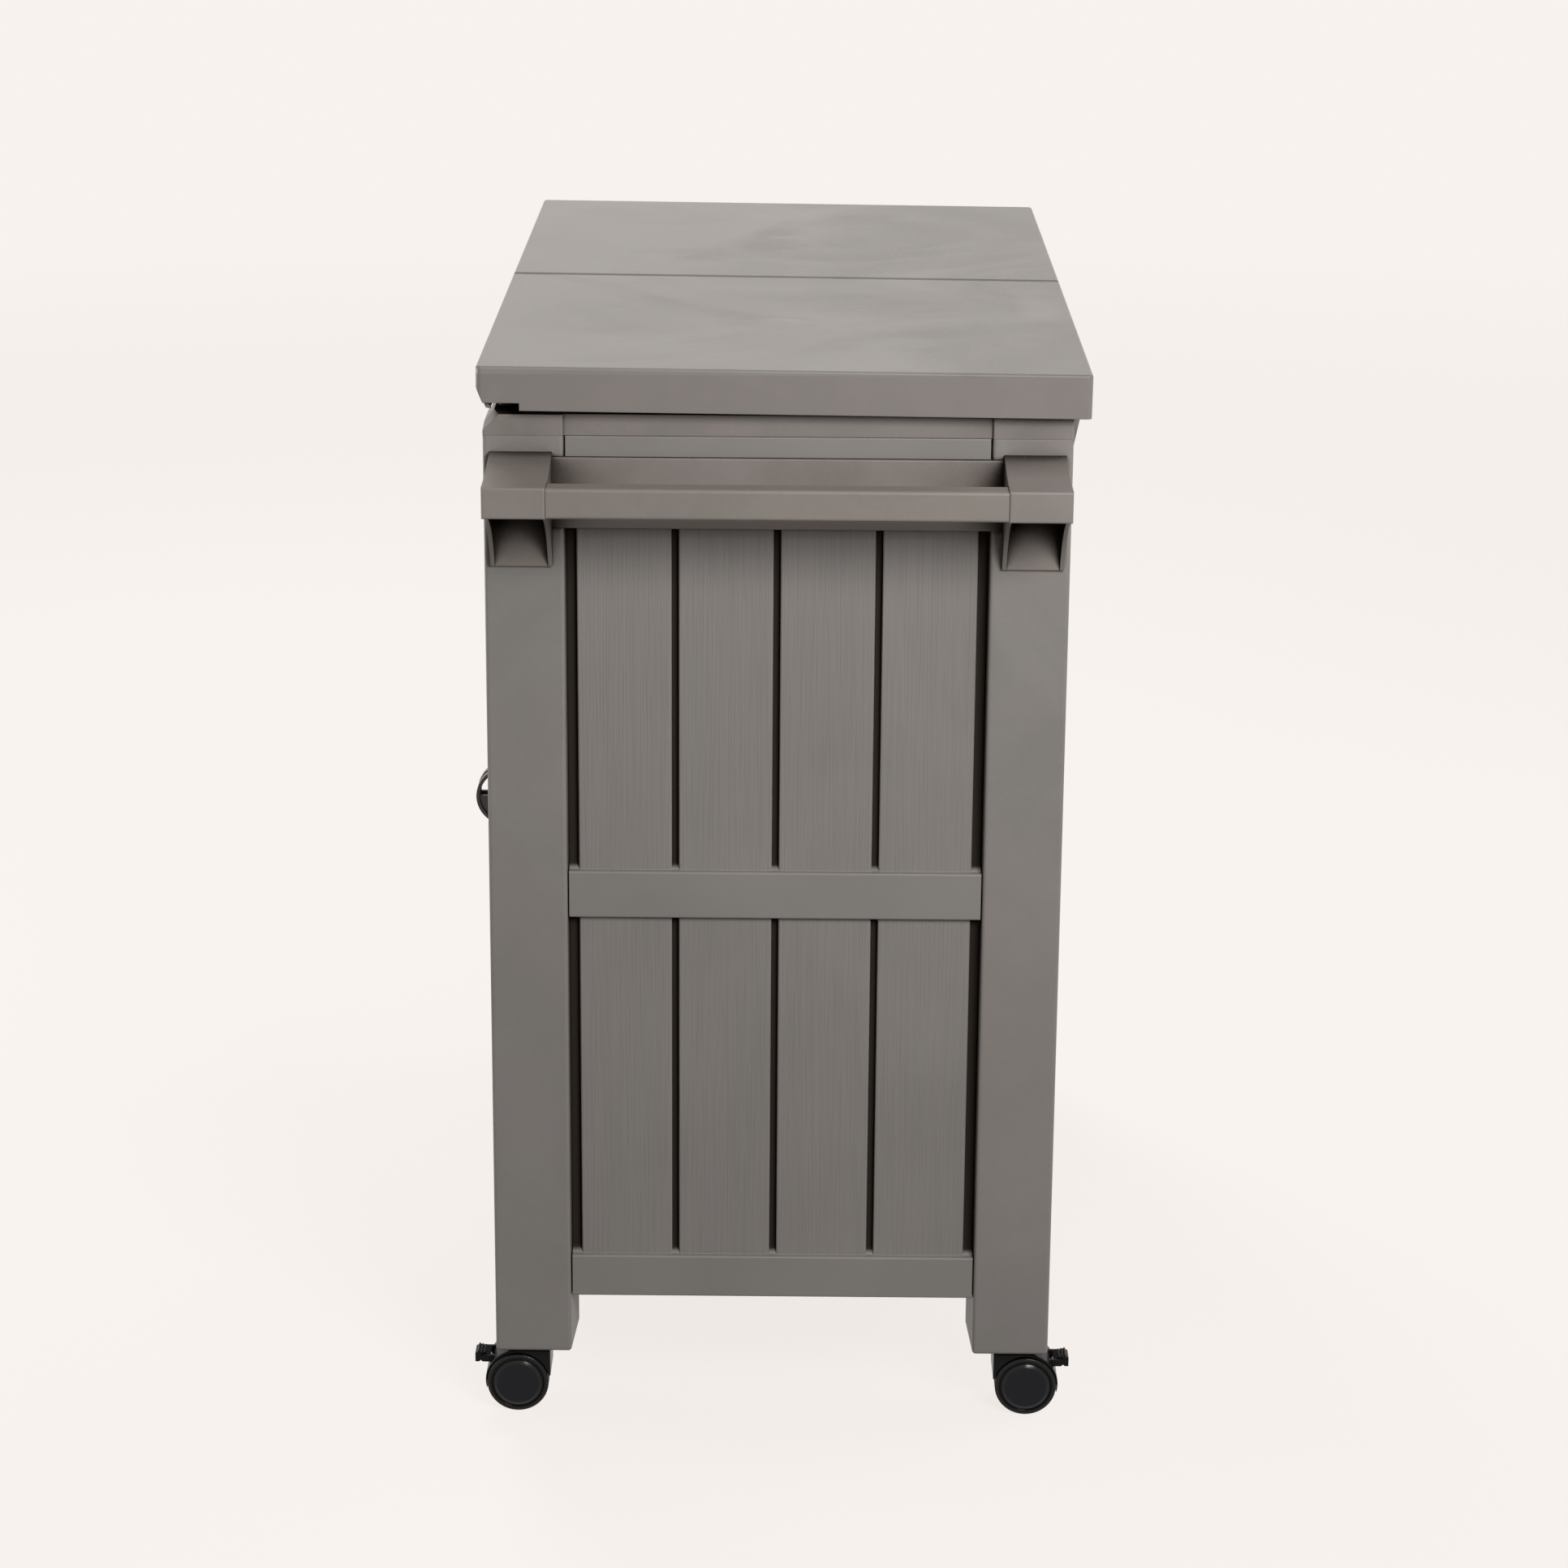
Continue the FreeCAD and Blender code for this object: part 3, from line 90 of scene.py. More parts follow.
# Node tree of a material or the world, and short words for the patterns that the finishes share
class Finish:
    def __init__(self, name, owners=bpy.data.materials):
        self.owner = owners.new(name)
        self.owner.use_nodes = True
        self.tree = self.owner.node_tree
        self.tree.nodes.clear()
        self.place = self.add("ShaderNodeTexCoord", out="Object")

    def add(self, kind, settings=None, inputs=None, out=0):
        node = self.tree.nodes.new(kind)
        for key, value in (settings or {}).items():
            if key == "stops":
                self.setStops(node.color_ramp, value)
            else:
                setattr(node, key, value)
        for key, value in (inputs or {}).items():
            if isinstance(value, Wire):
                self.tree.links.new(value.socket, node.inputs[key])
            else:
                node.inputs[key].default_value = value
        if len(node.outputs) == 0:
            return node
        return Wire(self, node.outputs[out])

    def setStops(self, ramp, stops):
        while len(ramp.elements) < len(stops):
            ramp.elements.new(1)
        for element, (position, shade) in zip(ramp.elements, stops):
            element.position = position
            element.color = (shade, shade, shade, 1)

    def ramp(self, value, *stops):
        return self.add("ShaderNodeValToRGB", {"stops": stops}, {0: value})

    def rise(self, value, start, end):  # 0 up to start, 1 from end on
        return self.ramp((value - start) / (end - start), (0, 0), (1, 1))

    def noise(self, scale, detail=3, rough=0.5, distortion=0, stretch=(1, 1, 1)):
        spot = self.add("ShaderNodeMapping", None, {"Vector": self.place, "Scale": stretch})
        return self.add("ShaderNodeTexNoise", None, {
            "Vector": spot, "Scale": scale, "Detail": detail, "Roughness": rough, "Distortion": distortion,
        })

    def along(self, axis):
        return self.add("ShaderNodeSeparateXYZ", None, {0: self.place}, out="XYZ".index(axis.upper()))

    def mixed(self, amount, first, second):
        return self.add("ShaderNodeMix", {"data_type": "RGBA"}, {0: amount, 6: first, 7: second}, out=2)

    def softEdge(self, radius):
        return self.add("ShaderNodeBevel", {"samples": 6}, {"Radius": radius})

    def edgeMask(self, soft):  # 0 on flat faces, towards 1 on the rounded edges
        flat = self.add("ShaderNodeNewGeometry", out="Normal")
        dot = {"operation": "DOT_PRODUCT"}
        facing = self.add("ShaderNodeVectorMath", dot, {0: soft, 1: flat}, out="Value")
        return self.ramp(facing, (0.80, 1), (0.985, 0))

    def hollow(self, reach, deep, clear):  # painted shade: 1 deep in a hollow or corner, 0 where the surface is open
        light = self.add("ShaderNodeAmbientOcclusion", {"samples": 8}, {"Distance": reach}, out="AO")
        return self.ramp(light, (deep, 1), (clear, 0))

    def distance(self, spot):
        apart = {"operation": "DISTANCE"}
        return self.add("ShaderNodeVectorMath", apart, {0: self.place, 1: spot}, out="Value")

    def bump(self, height, distance, normal=None):
        inputs = {"Height": height, "Distance": distance}
        if normal:
            inputs["Normal"] = normal
        return self.add("ShaderNodeBump", None, inputs)

    def shader(self, shade=None, **settings):  # shade: how far to fade into a dark, dull surface that paints the shade of a hollow
        words = {
            "color": "Base Color", "roughness": "Roughness", "metallic": "Metallic", "normal": "Normal",
            "specular": "Specular IOR Level", "coat": "Coat Weight", "coatRoughness": "Coat Roughness",
        }
        inputs = {words[key]: value for key, value in settings.items()}
        surface = self.add("ShaderNodeBsdfPrincipled", None, inputs)
        if shade:
            # painted shade: a dark, dull diffuse mixed in by the shade mask
            dull = self.add("ShaderNodeBsdfDiffuse", None, {"Color": resin["hollowColor"]})
            surface = self.add("ShaderNodeMixShader", None, {0: shade, 1: surface, 2: dull})
        self.add("ShaderNodeOutputMaterial", None, {"Surface": surface})
        return self.owner

    def raysThatSee(self):  # 1 for camera, mirror and glass rays, 0 for the light on the cart
        kinds = ("Is Camera Ray", "Is Glossy Ray", "Is Transmission Ray")
        camera, glossy, glass = [self.add("ShaderNodeLightPath", out=kind) for kind in kinds]
        return camera.maths("MINIMUM", camera + glossy + glass, 1)


def paint(material, *names):
    for name in names:
        slots = nodes[name].data.materials
        slots.clear()
        slots.append(material)


def tint(color, factor):
    return tuple(channel * factor for channel in color[:3]) + (1,)


resin = {
    "color": (0.235, 0.219, 0.205, 1),  # taupe grey
    "pink": (0.252, 0.221, 0.211, 1),  # warmer patches in the moulding
    "handleShadedColor": (0.222, 0.195, 0.174, 1),  # the handle is browner, and painted darker as shade
    "rimColor": (0.223, 0.200, 0.183, 1),
    # painted shade: the dark colour put into hollows, grooves and corners, and how far the mask looks for
    # them
    "hollowColor": (0.034, 0.027, 0.022, 1),
    "hollowReach": 70 * mm,
    "hollow": (0.30, 0.66),  # painted shade: openness at which a hollow is painted fully dark, and at which the painted shade ends
    # painted shade is stronger on the rim under the lids, and stronger still in the handle's scoops and
    # well
    "rimPaintedShade": (0.33, 0.74),
    "handlePaintedShade": (0.55, 0.83),
    "warmShare": 0.6,
    "speckShare": 0.06,
    "speckColor": 0.6,
    "edgeRadius": 1.1 * mm,
    "paintedHighlightTint": 1.22,  # painted highlight: the edges are painted paler
    "paintedHighlightShare": 0.6,
    "grainScale": 1500,
    "grainDepth": 0.035 * mm,
    "roughness": 0.46,
    "specular": 0.42,
}


# Satin moulded resin with soft flow clouds and fine grain, a painted highlight on the edges and painted
# shade deep in hollows and corners
def makeResin(name, color=resin["color"], cloud=0.06, roughness=resin["roughness"], hollow=resin["hollow"]):
    finish = Finish(name)
    clouds = finish.ramp(finish.noise(7, 4, 0.55, 1.2), (0.36, 0), (0.64, 1))
    warm = finish.ramp(finish.noise(9, 3, 0.5, 0.6), (0.50, 0), (0.66, 1))
    specks = finish.noise(260, 2, 0.6)
    base = finish.mixed(clouds, tint(color, 1 - cloud), tint(color, 1 + cloud))
    base = finish.mixed(warm * resin["warmShare"], base, resin["pink"])
    dark = finish.ramp(specks, (0.35, resin["speckShare"]), (0.6, 0))
    base = finish.mixed(dark, base, tint(color, resin["speckColor"]))
    soft = finish.softEdge(resin["edgeRadius"])
    # painted highlight: the rounded edges are painted paler, and they are also a little smoother
    paintedEdgeHighlight = finish.edgeMask(soft)
    base = finish.mixed(paintedEdgeHighlight * resin["paintedHighlightShare"], base, tint(color, resin["paintedHighlightTint"]))
    normal = finish.bump(finish.noise(resin["grainScale"], 2, 0.7), resin["grainDepth"], soft)
    gloss = roughness + (clouds - 0.5) * 0.07 - paintedEdgeHighlight * 0.08 + (specks - 0.5) * 0.1
    # painted shade: a dark, dull surface is mixed in deep in hollows and corners
    shade = finish.hollow(resin["hollowReach"], *hollow)
    return finish.shader(shade, color=base, roughness=gloss, normal=normal, specular=resin["specular"])


resinMaterial = makeResin("taupeResin")
paint(resinMaterial, *[f"post_{corner}" for corner in corners])
paint(resinMaterial, "front_bottom_rail", "front_top_rail")
# painted shade: the rim's hollows under the lids get a stronger painted shade
paint(makeResin("rimResin", resin["rimColor"], hollow=resin["rimPaintedShade"]), "top_frame")
paint(resinMaterial, "cabinet_floor", "middle_shelf", "shelf_supports")
paint(resinMaterial, *[f"lid_hinge_bracket_{end}_{number}" for end in ends for number in (1, 2)])
trayMaterial = makeResin("trayResin", tint(resin["color"], 0.86), 0.04, 0.5)
paint(trayMaterial, *[f"tray_{end}" for end in ends])
# painted shade: the handle's colour is painted darker, and its scoops and well get the strongest painted
# shade
handleMaterial = makeResin("handleResin", resin["handleShadedColor"], 0.05, 0.42, resin["handlePaintedShade"])
paint(handleMaterial, "handle_frame", "handle_bar")
print("resin done")

plank = {
    "railDepth": (2.5 * mm, 3.8 * mm),  # under the rails' face, the rail turns into plank here
    "grooveDepth": (7 * mm, 10 * mm),  # and the plank's edge into a groove with painted shade here
    "backDepth": 12.5 * mm,  # deeper than this is the panel's smooth back
    "cloud": 0.05,
    "ribScale": 620,  # fine upright ribbing
    "ribStretch": (1, 1, 0.016),
    "ribDepth": 0.12 * mm,
    "ribShade": 0.13,
    "ribColor": 0.55,
    "streakStretch": (1, 1, 0.03),
    "streakScale": 90,
    "streakShare": 0.3,
    "streakLight": 1.12,
    "paintedHighlightShare": 0.55,
    "roughness": 0.48,
    "specular": 0.4,
}


# Resin planks with fine upright wood grain between smooth rails, with painted shade in the grooves and a
# painted highlight on the edges
def makePlanks(name, axis, face, way):
    finish = Finish(name)
    depth = (face - finish.along(axis)) * way
    inFront = depth < plank["backDepth"]
    onPlank = finish.rise(depth, *plank["railDepth"]) * inFront
    # painted shade: deep in a groove the plank fades into a dark, dull surface
    paintedGrooveShade = finish.rise(depth, *plank["grooveDepth"]) * inFront
    lines = finish.noise(plank["ribScale"], 2, 0.55, 0, plank["ribStretch"])
    lines = finish.ramp(lines, (0.36, 0), (0.56, 1))
    streaks = finish.noise(plank["streakScale"], 3, 0.6, 0.2, plank["streakStretch"])
    streaks = finish.ramp(streaks, (0.3, 0), (0.7, 1))
    clouds = finish.ramp(finish.noise(6, 3, 0.5, 0.8), (0.34, 0), (0.66, 1))
    cloud = plank["cloud"]
    base = finish.mixed(clouds, tint(resin["color"], 1 - cloud), tint(resin["color"], 1 + cloud))
    streaked = streaks * onPlank * plank["streakShare"]
    base = finish.mixed(streaked, base, tint(resin["pink"], plank["streakLight"]))
    ribbed = (1 - lines) * onPlank * plank["ribShade"]
    base = finish.mixed(ribbed, base, tint(resin["color"], plank["ribColor"]))
    soft = finish.softEdge(resin["edgeRadius"])
    # painted highlight: the plank's edges are painted paler outside the grooves, and they are a little
    # smoother
    paintedEdgeHighlight = finish.edgeMask(soft) * (1 - paintedGrooveShade)
    base = finish.mixed(paintedEdgeHighlight * plank["paintedHighlightShare"], base, tint(resin["color"], resin["paintedHighlightTint"]))
    grain = finish.noise(resin["grainScale"], 2, 0.7)
    normal = finish.bump(lines * onPlank + grain * 0.2, plank["ribDepth"], soft)
    gloss = plank["roughness"] + onPlank * 0.06 - lines * onPlank * 0.06 - paintedEdgeHighlight * 0.06
    return finish.shader(paintedGrooveShade, color=base, roughness=gloss, normal=normal, specular=plank["specular"])


paint(makePlanks("endPlanksHandle", "x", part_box("end_panel_handle_end")[1].x, 1), "end_panel_handle_end")
paint(makePlanks("endPlanksFar", "x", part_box("end_panel_far_end")[0].x, -1), "end_panel_far_end")
paint(makePlanks("backPlanks", "y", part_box("back_panel")[1].y, 1), "back_panel")
for end in ends:
    paint(makePlanks(f"doorPlanks_{end}", "y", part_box(f"door_{end}")[0].y, -1), f"door_{end}")
print("planks done")

lid = {
    # painted shade: the lid's skirts are painted darker than the resin
    "skirtShadedColor": (0.216, 0.194, 0.185, 1),
    "topBand": 6 * mm,  # the clouds are on the top face and its edge
    "cloudScale": 3.4,
    "swirl": 1.6,
    "cloudLight": 0.86,
    "cloudLift": 0.07,
    "cloudGloss": 0.36,  # the clouds show most in the sheen, at a low angle
    "paintedFrontLight": 0.30,  # painted light: the clouds are painted paler towards the front
    "wispShare": 0.3,
    "wispLight": 0.98,
    "gateRadius": 22 * mm,
    "gateShare": 0.8,
    "gateLight": 1.5,
    "ringPitch": 105 * mm,  # flow rings round the moulding's gate
    "ringDrift": 2.2,  # turns by which the clouds bend them
    "ringLift": 0.08,
    "ringLight": 1.8,
    "paintedHighlightShare": 0.3,
    "roughness": 0.40,
    "specular": 0.38,
    "coatRoughness": 0.3,
}


# Lid resin: cloudy swirls and rings that spread from the moulding's gate at the middle of the top; painted
# light makes the clouds paler towards the front, and the edges get a painted highlight
def makeLid(name, node):
    low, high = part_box(node)
    middle = (low + high) / 2
    finish = Finish(name)
    onTop = finish.along("z") > high.z - lid["topBand"]
    reach = finish.distance((middle.x, middle.y, high.z))
    drift = finish.noise(lid["cloudScale"], 3, 0.5, lid["swirl"])
    # painted light: the clouds are painted paler towards the front, which also strengthens their sheen
    # there
    paintedLightTowardsFront = (middle.y - finish.along("y")) / (high.y - low.y)
    swirlsAndPaintedLight = finish.ramp(drift + paintedLightTowardsFront * lid["paintedFrontLight"], (0.38, 0), (0.62, 1))
    turns = (reach / lid["ringPitch"] + drift * lid["ringDrift"]) * math.tau
    rings = turns.maths("SINE", turns) * 0.5 + 0.5
    wisps = finish.ramp(finish.noise(16, 4, 0.6, 1.5, (0.5, 1, 1)), (0.45, 0), (0.66, 1))
    specks = finish.noise(260, 2, 0.6)
    light, lift = lid["cloudLight"], lid["cloudLift"]
    cloudy = finish.mixed(swirlsAndPaintedLight, tint(resin["color"], light - lift), tint(resin["color"], light + lift))
    cloudy = finish.mixed(rings * lid["ringLift"], cloudy, tint(resin["color"], lid["ringLight"]))
    base = finish.mixed(onTop, lid["skirtShadedColor"], cloudy)
    base = finish.mixed(wisps * lid["wispShare"], base, tint(resin["pink"], lid["wispLight"]))
    atGate = finish.ramp(reach / lid["gateRadius"], (0.15, 1), (1, 0))
    splash = finish.ramp(finish.noise(120, 3, 0.6, 1.0, (1, 0.4, 1)), (0.45, 0), (0.6, 1))
    base = finish.mixed(atGate * splash * lid["gateShare"], base, tint(resin["color"], lid["gateLight"]))
    soft = finish.softEdge(resin["edgeRadius"])
    # painted highlight: the rounded edges are painted paler
    paintedEdgeHighlight = finish.edgeMask(soft)
    base = finish.mixed(paintedEdgeHighlight * lid["paintedHighlightShare"], base, tint(resin["color"], resin["paintedHighlightTint"]))
    normal = finish.bump(finish.noise(resin["grainScale"], 2, 0.7), resin["grainDepth"], soft)
    gloss = lid["roughness"] + (swirlsAndPaintedLight - 0.5) * 0.08 + (rings - 0.5) * 0.05 + (specks - 0.5) * 0.1
    sheen = swirlsAndPaintedLight * lid["cloudGloss"] * onTop
    return finish.shader(
        color=base, roughness=gloss, normal=normal, specular=lid["specular"],
        coat=sheen, coatRoughness=lid["coatRoughness"],
    )


for end in ends:
    paint(makeLid(f"lidResin_{end}", f"lid_{end}"), f"lid_{end}")
print("lids done")

nylon = {
    "color": (0.0036, 0.0035, 0.0040, 1),
    "cloudLight": 1.7,
    # painted highlight: how much paler the edges are painted, and how much of that is mixed in
    "paintedHighlightTint": 3.5,
    "paintedHighlightShare": 0.5,
    "edgeRadius": 0.7 * mm,
    "grainDepth": 0.02 * mm,
    "roughness": 0.30,
    "specular": 0.12,
}


# Satin black nylon with a faint moulded grain and a painted highlight on the edges
def makeNylon(name):
    finish = Finish(name)
    clouds = finish.noise(45, 3, 0.5)
    soft = finish.softEdge(nylon["edgeRadius"])
    # painted highlight: the rounded edges are painted paler
    paintedEdgeHighlight = finish.edgeMask(soft)
    base = finish.mixed(clouds, nylon["color"], tint(nylon["color"], nylon["cloudLight"]))
    base = finish.mixed(paintedEdgeHighlight * nylon["paintedHighlightShare"], base, tint(nylon["color"], nylon["paintedHighlightTint"]))
    normal = finish.bump(finish.noise(1800, 2, 0.6), nylon["grainDepth"], soft)
    gloss = nylon["roughness"] + (clouds - 0.5) * 0.15
    return finish.shader(color=base, roughness=gloss, normal=normal, specular=nylon["specular"])


nylonMaterial = makeNylon("blackNylon")
paint(nylonMaterial, "door_catch", *[f"caster_hood_{corner}" for corner in corners])
paint(nylonMaterial, "brake_pedal_front_handle_end", "brake_pedal_back_handle_end")


# A line through (radius, along) points; a third number rounds that corner
def roundedLine(points, steps=5):
    line = []
    for number, point in enumerate(points):
        spot = Vector(point[:2])
        if len(point) == 2:
            line.append(spot)
            continue
        before = Vector(points[number - 1][:2]) - spot
        after = Vector(points[number + 1][:2]) - spot
        halfAngle = before.angle(after) / 2
        reach = min(point[2] / math.tan(halfAngle), before.length / 2, after.length / 2)
        first = spot + before.normalized() * reach
        last = spot + after.normalized() * reach
        for step in range(steps + 1):
            share = step / steps
            line.append(first.lerp(spot, share).lerp(spot.lerp(last, share), share))
    return line


# Turns a line about an axis along X; way mirrors it across the middle
def addTurned(mesh, line, middle, way, segments=96):
    rings = []
    for radius, along in line:
        if radius < 1e-6:
            rings.append([mesh.verts.new(middle + Vector((way * along, 0, 0)))])
            continue
        ring = []
        for number in range(segments):
            angle = math.tau * number / segments
            spot = Vector((way * along, radius * math.cos(angle), way * radius * math.sin(angle)))
            ring.append(mesh.verts.new(middle + spot))
        rings.append(ring)
    for first, second in zip(rings, rings[1:]):
        for number in range(segments):
            corner = [first[number % len(first)], second[number % len(second)]]
            corner += [second[(number + 1) % len(second)], first[(number + 1) % len(first)]]
            mesh.faces.new(list(dict.fromkeys(corner)))


def makePiece(name, mesh, materials, sharpAngle=32):
    bmesh.ops.recalc_face_normals(mesh, faces=mesh.faces)
    for edge in mesh.edges:
        edge.smooth = edge.calc_face_angle(0) < math.radians(sharpAngle)
    for face in mesh.faces:
        face.smooth = True
    data = bpy.data.meshes.new(name)
    mesh.to_mesh(data)
    mesh.free()
    for material in materials:
        data.materials.append(material)
    piece = bpy.data.objects.new(name, data)
    bpy.context.scene.collection.objects.link(piece)
    return piece


wheel = {
    "tyre": (0.0030, 0.0030, 0.0032, 1),
    "hub": (0.0038, 0.0038, 0.0068, 1),
    "dust": (0.016, 0.015, 0.014, 1),
    "tyreLight": 1.5,
    "tyreGrain": 0.002 * mm,
    "tyreRoughness": 0.20,
    "tyreSpecular": 0.14,
    "treadRoughness": 0.30,  # added on the tread
    "hubLight": 1.4,
    "hubGrain": 0.03 * mm,
    "hubRoughness": 0.34,
    "hubSpecular": 0.2,
    "polishShare": 0.28,
    "polishRoughness": 0.14,
    "polish": (  # shares of the radius: the hub's bevel and the tyre's shoulder are rubbed bright
        (0.655, 0), (0.68, 1), (0.78, 1), (0.80, 0), (0.885, 0), (0.91, 1), (0.975, 1), (0.99, 0),
    ),
    "inner": 7,  # inner face, from the caster's middle; this and the sizes below are in millimetres
    "outer": 22,  # face of the tyre
    "bore": 3.05,
    "boreEnd": 19.6,
    "boss": 8,  # flat round the bore on the inner face
    "dishStart": 9.5,
    "dish": 3,  # depth of the hollow in the inner face
    "soft": 1,  # rounding of the inner corners
    "tyreWidth": 4,  # from the tread down to the rim's groove
    "shoulder": 2.6,
    "rimLip": 0.7,
    "rimSlope": 0.5,
    "rimGroove": 1.2,  # depth between tyre and hub
    "rimCorner": 0.3,
    "hubEdge": 20.6,
    "hubDraft": 0.1,
    "hubLow": 0.2,  # the hub's edge lies this far under the tyre's face
    "hubCorner": 0.5,
    "hubFlat": 17.6,
    "hubRound": 1.2,
    "hubDip": 0.25,
    "grooves": (11.3, 14.5, 17.7),  # round the tread
    "grooveMouth": 1.4,
    "grooveFloor": 0.7,
    "grooveDepth": 0.45,
}


# Tyre and rim of a caster: satin black with a scuffed, dusty tread and polished edges
def makeTyre(name, middle, radius):
    finish = Finish(name)
    sideways = finish.along("y") - middle.y
    upward = finish.along("z") - middle.z
    out = (sideways * sideways + upward * upward) ** 0.5 / radius
    onTread = finish.ramp(out, (0.965, 0), (0.99, 1))
    scuffs = finish.noise(240, 3, 0.65)
    base = finish.mixed(scuffs, wheel["tyre"], tint(wheel["tyre"], wheel["tyreLight"]))
    base = finish.mixed(finish.ramp(scuffs, (0.5, 0), (0.75, 0.6)) * onTread, base, wheel["dust"])
    normal = finish.bump(finish.noise(1400, 2, 0.6), wheel["tyreGrain"])
    gloss = wheel["tyreRoughness"] + onTread * wheel["treadRoughness"] + (scuffs - 0.5) * 0.1
    polish = finish.ramp(out, *wheel["polish"])
    return finish.shader(
        color=base, roughness=gloss, normal=normal, specular=wheel["tyreSpecular"],
        coat=polish * wheel["polishShare"], coatRoughness=wheel["polishRoughness"],
    )


# Hub disc: matt blue-black with a fine spark texture
def makeHub(name):
    finish = Finish(name)
    clouds = finish.noise(60, 3, 0.5)
    spark = finish.noise(2200, 2, 0.6)
    base = finish.mixed(clouds, wheel["hub"], tint(wheel["hub"], wheel["hubLight"]))
    normal = finish.bump(spark, wheel["hubGrain"])
    gloss = wheel["hubRoughness"] + (clouds - 0.5) * 0.1 + (spark - 0.5) * 0.1
    return finish.shader(color=base, roughness=gloss, normal=normal, specular=wheel["hubSpecular"])


# Twin wheels turned from one section: hollow inside, grooved tread, rim groove and raised hub disc
def makeWheels(corner):
    node = f"caster_wheels_{corner}"
    low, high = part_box(node)
    middle = (low + high) / 2
    radius = (high.z - low.z) / 2 / mm
    crown = (high.x - low.x) / 2 / mm
    rim = radius - wheel["tyreWidth"]
    inner, face, soft = wheel["inner"], wheel["outer"], wheel["soft"]
    dished = inner + wheel["dish"]
    sunk = face - wheel["rimGroove"]
    section = [
        (0, wheel["boreEnd"]), (wheel["bore"], wheel["boreEnd"]), (wheel["bore"], inner),
        (wheel["boss"], inner, soft), (wheel["dishStart"], dished, soft), (rim - soft, dished, soft),
        (rim, inner, soft), (radius, inner, wheel["shoulder"]),
    ]
    mouth, floor = wheel["grooveMouth"] / 2, wheel["grooveFloor"] / 2
    deep = radius - wheel["grooveDepth"]
    for groove in wheel["grooves"]:
        section += [(radius, groove - mouth), (deep, groove - floor)]
        section += [(deep, groove + floor), (radius, groove + mouth)]
    section += [
        (radius, face, wheel["shoulder"]), (rim, face, wheel["rimLip"]),
        (rim - wheel["rimSlope"], sunk, wheel["rimCorner"]), (wheel["hubEdge"], sunk, wheel["rimCorner"]),
        (wheel["hubEdge"] - wheel["hubDraft"], face - wheel["hubLow"], wheel["hubCorner"]),
        (wheel["hubFlat"], crown, wheel["hubRound"]), (0, crown - wheel["hubDip"]),
    ]
    line = [spot * mm for spot in roundedLine(section)]
    mesh = bmesh.new()
    for way in (1, -1):
        addTurned(mesh, line, middle, way)
    for shell in mesh.faces:
        spot = shell.calc_center_median() - middle
        onHub = abs(spot.x) > sunk * mm and math.hypot(spot.y, spot.z) < wheel["hubFlat"] * mm
        shell.material_index = 1 if onHub else 0
    tyre = makeTyre(f"tyreBlack_{corner}", middle, radius * mm)
    pair = makePiece(f"twinWheels_{corner}", mesh, [tyre, hubMaterial])
    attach(pair, f"wheels_{corner}")
    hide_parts(node)


hubMaterial = makeHub("hubBlack")
for corner in corners:
    makeWheels(corner)
print("casters done")

gunmetal = {
    "color": (0.052, 0.050, 0.049, 1),
    "worn": (0.16, 0.155, 0.15, 1),
    "wornShare": 0.8,
    "edgeRadius": 0.9 * mm,
    "peelDepth": 0.05 * mm,
    "metallic": 0.55,
    "roughness": 0.28,
    "specular": 0.5,
}


# Dark gunmetal enamel over metal, a little orange peel and bare edges
def makeGunmetal(name):
    finish = Finish(name)
    peel = finish.noise(420, 2, 0.5)
    clouds = finish.noise(60, 3, 0.5)
    soft = finish.softEdge(gunmetal["edgeRadius"])
    bare = finish.edgeMask(soft) * finish.ramp(clouds, (0.45, 0), (0.62, 1))
    base = finish.mixed(clouds, tint(gunmetal["color"], 0.8), tint(gunmetal["color"], 1.3))
    base = finish.mixed(bare * gunmetal["wornShare"], base, gunmetal["worn"])
    normal = finish.bump(peel, gunmetal["peelDepth"], soft)
    gloss = gunmetal["roughness"] + (clouds - 0.5) * 0.12
    metallic = gunmetal["metallic"] + bare * 0.4
    return finish.shader(
        color=base, roughness=gloss, normal=normal, metallic=metallic, specular=gunmetal["specular"],
    )


gunmetalMaterial = makeGunmetal("gunmetal")
for end in ends:
    paint(gunmetalMaterial, f"door_pull_{end}", f"pull_screws_{end}")

steel = {
    "color": (0.55, 0.54, 0.52, 1),
    "dull": (0.36, 0.35, 0.35, 1),
    "spangleScale": 700,
    "edgeRadius": 0.4 * mm,
    "grainDepth": 0.01 * mm,
    "roughness": 0.34,
}


# Zinc plated steel with a faint spangle and dull patches
def makeSteel(name):
    finish = Finish(name)
    cells = {"Vector": finish.place, "Scale": steel["spangleScale"]}
    spangle = finish.add("ShaderNodeTexVoronoi", None, cells, out="Color")
    patches = finish.noise(150, 3, 0.6)
    soft = finish.softEdge(steel["edgeRadius"])
    shade = finish.add("ShaderNodeSeparateColor", None, {0: spangle})
    base = finish.mixed(shade, tint(steel["color"], 0.88), tint(steel["color"], 1.1))
    base = finish.mixed(finish.ramp(patches, (0.5, 0), (0.75, 0.5)), base, steel["dull"])
    normal = finish.bump(finish.noise(900, 2, 0.6), steel["grainDepth"], soft)
    gloss = steel["roughness"] + (patches - 0.5) * 0.2
    return finish.shader(color=base, roughness=gloss, normal=normal, metallic=1.0)


steelMaterial = makeSteel("zincSteel")
paint(steelMaterial, "lid_hinge_pins", "door_pivot_pins", "handle_screws")
paint(steelMaterial, *[f"door_strike_{end}" for end in ends])
paint(steelMaterial, *[f"caster_{piece}_{corner}" for piece in ("stem", "axle") for corner in corners])

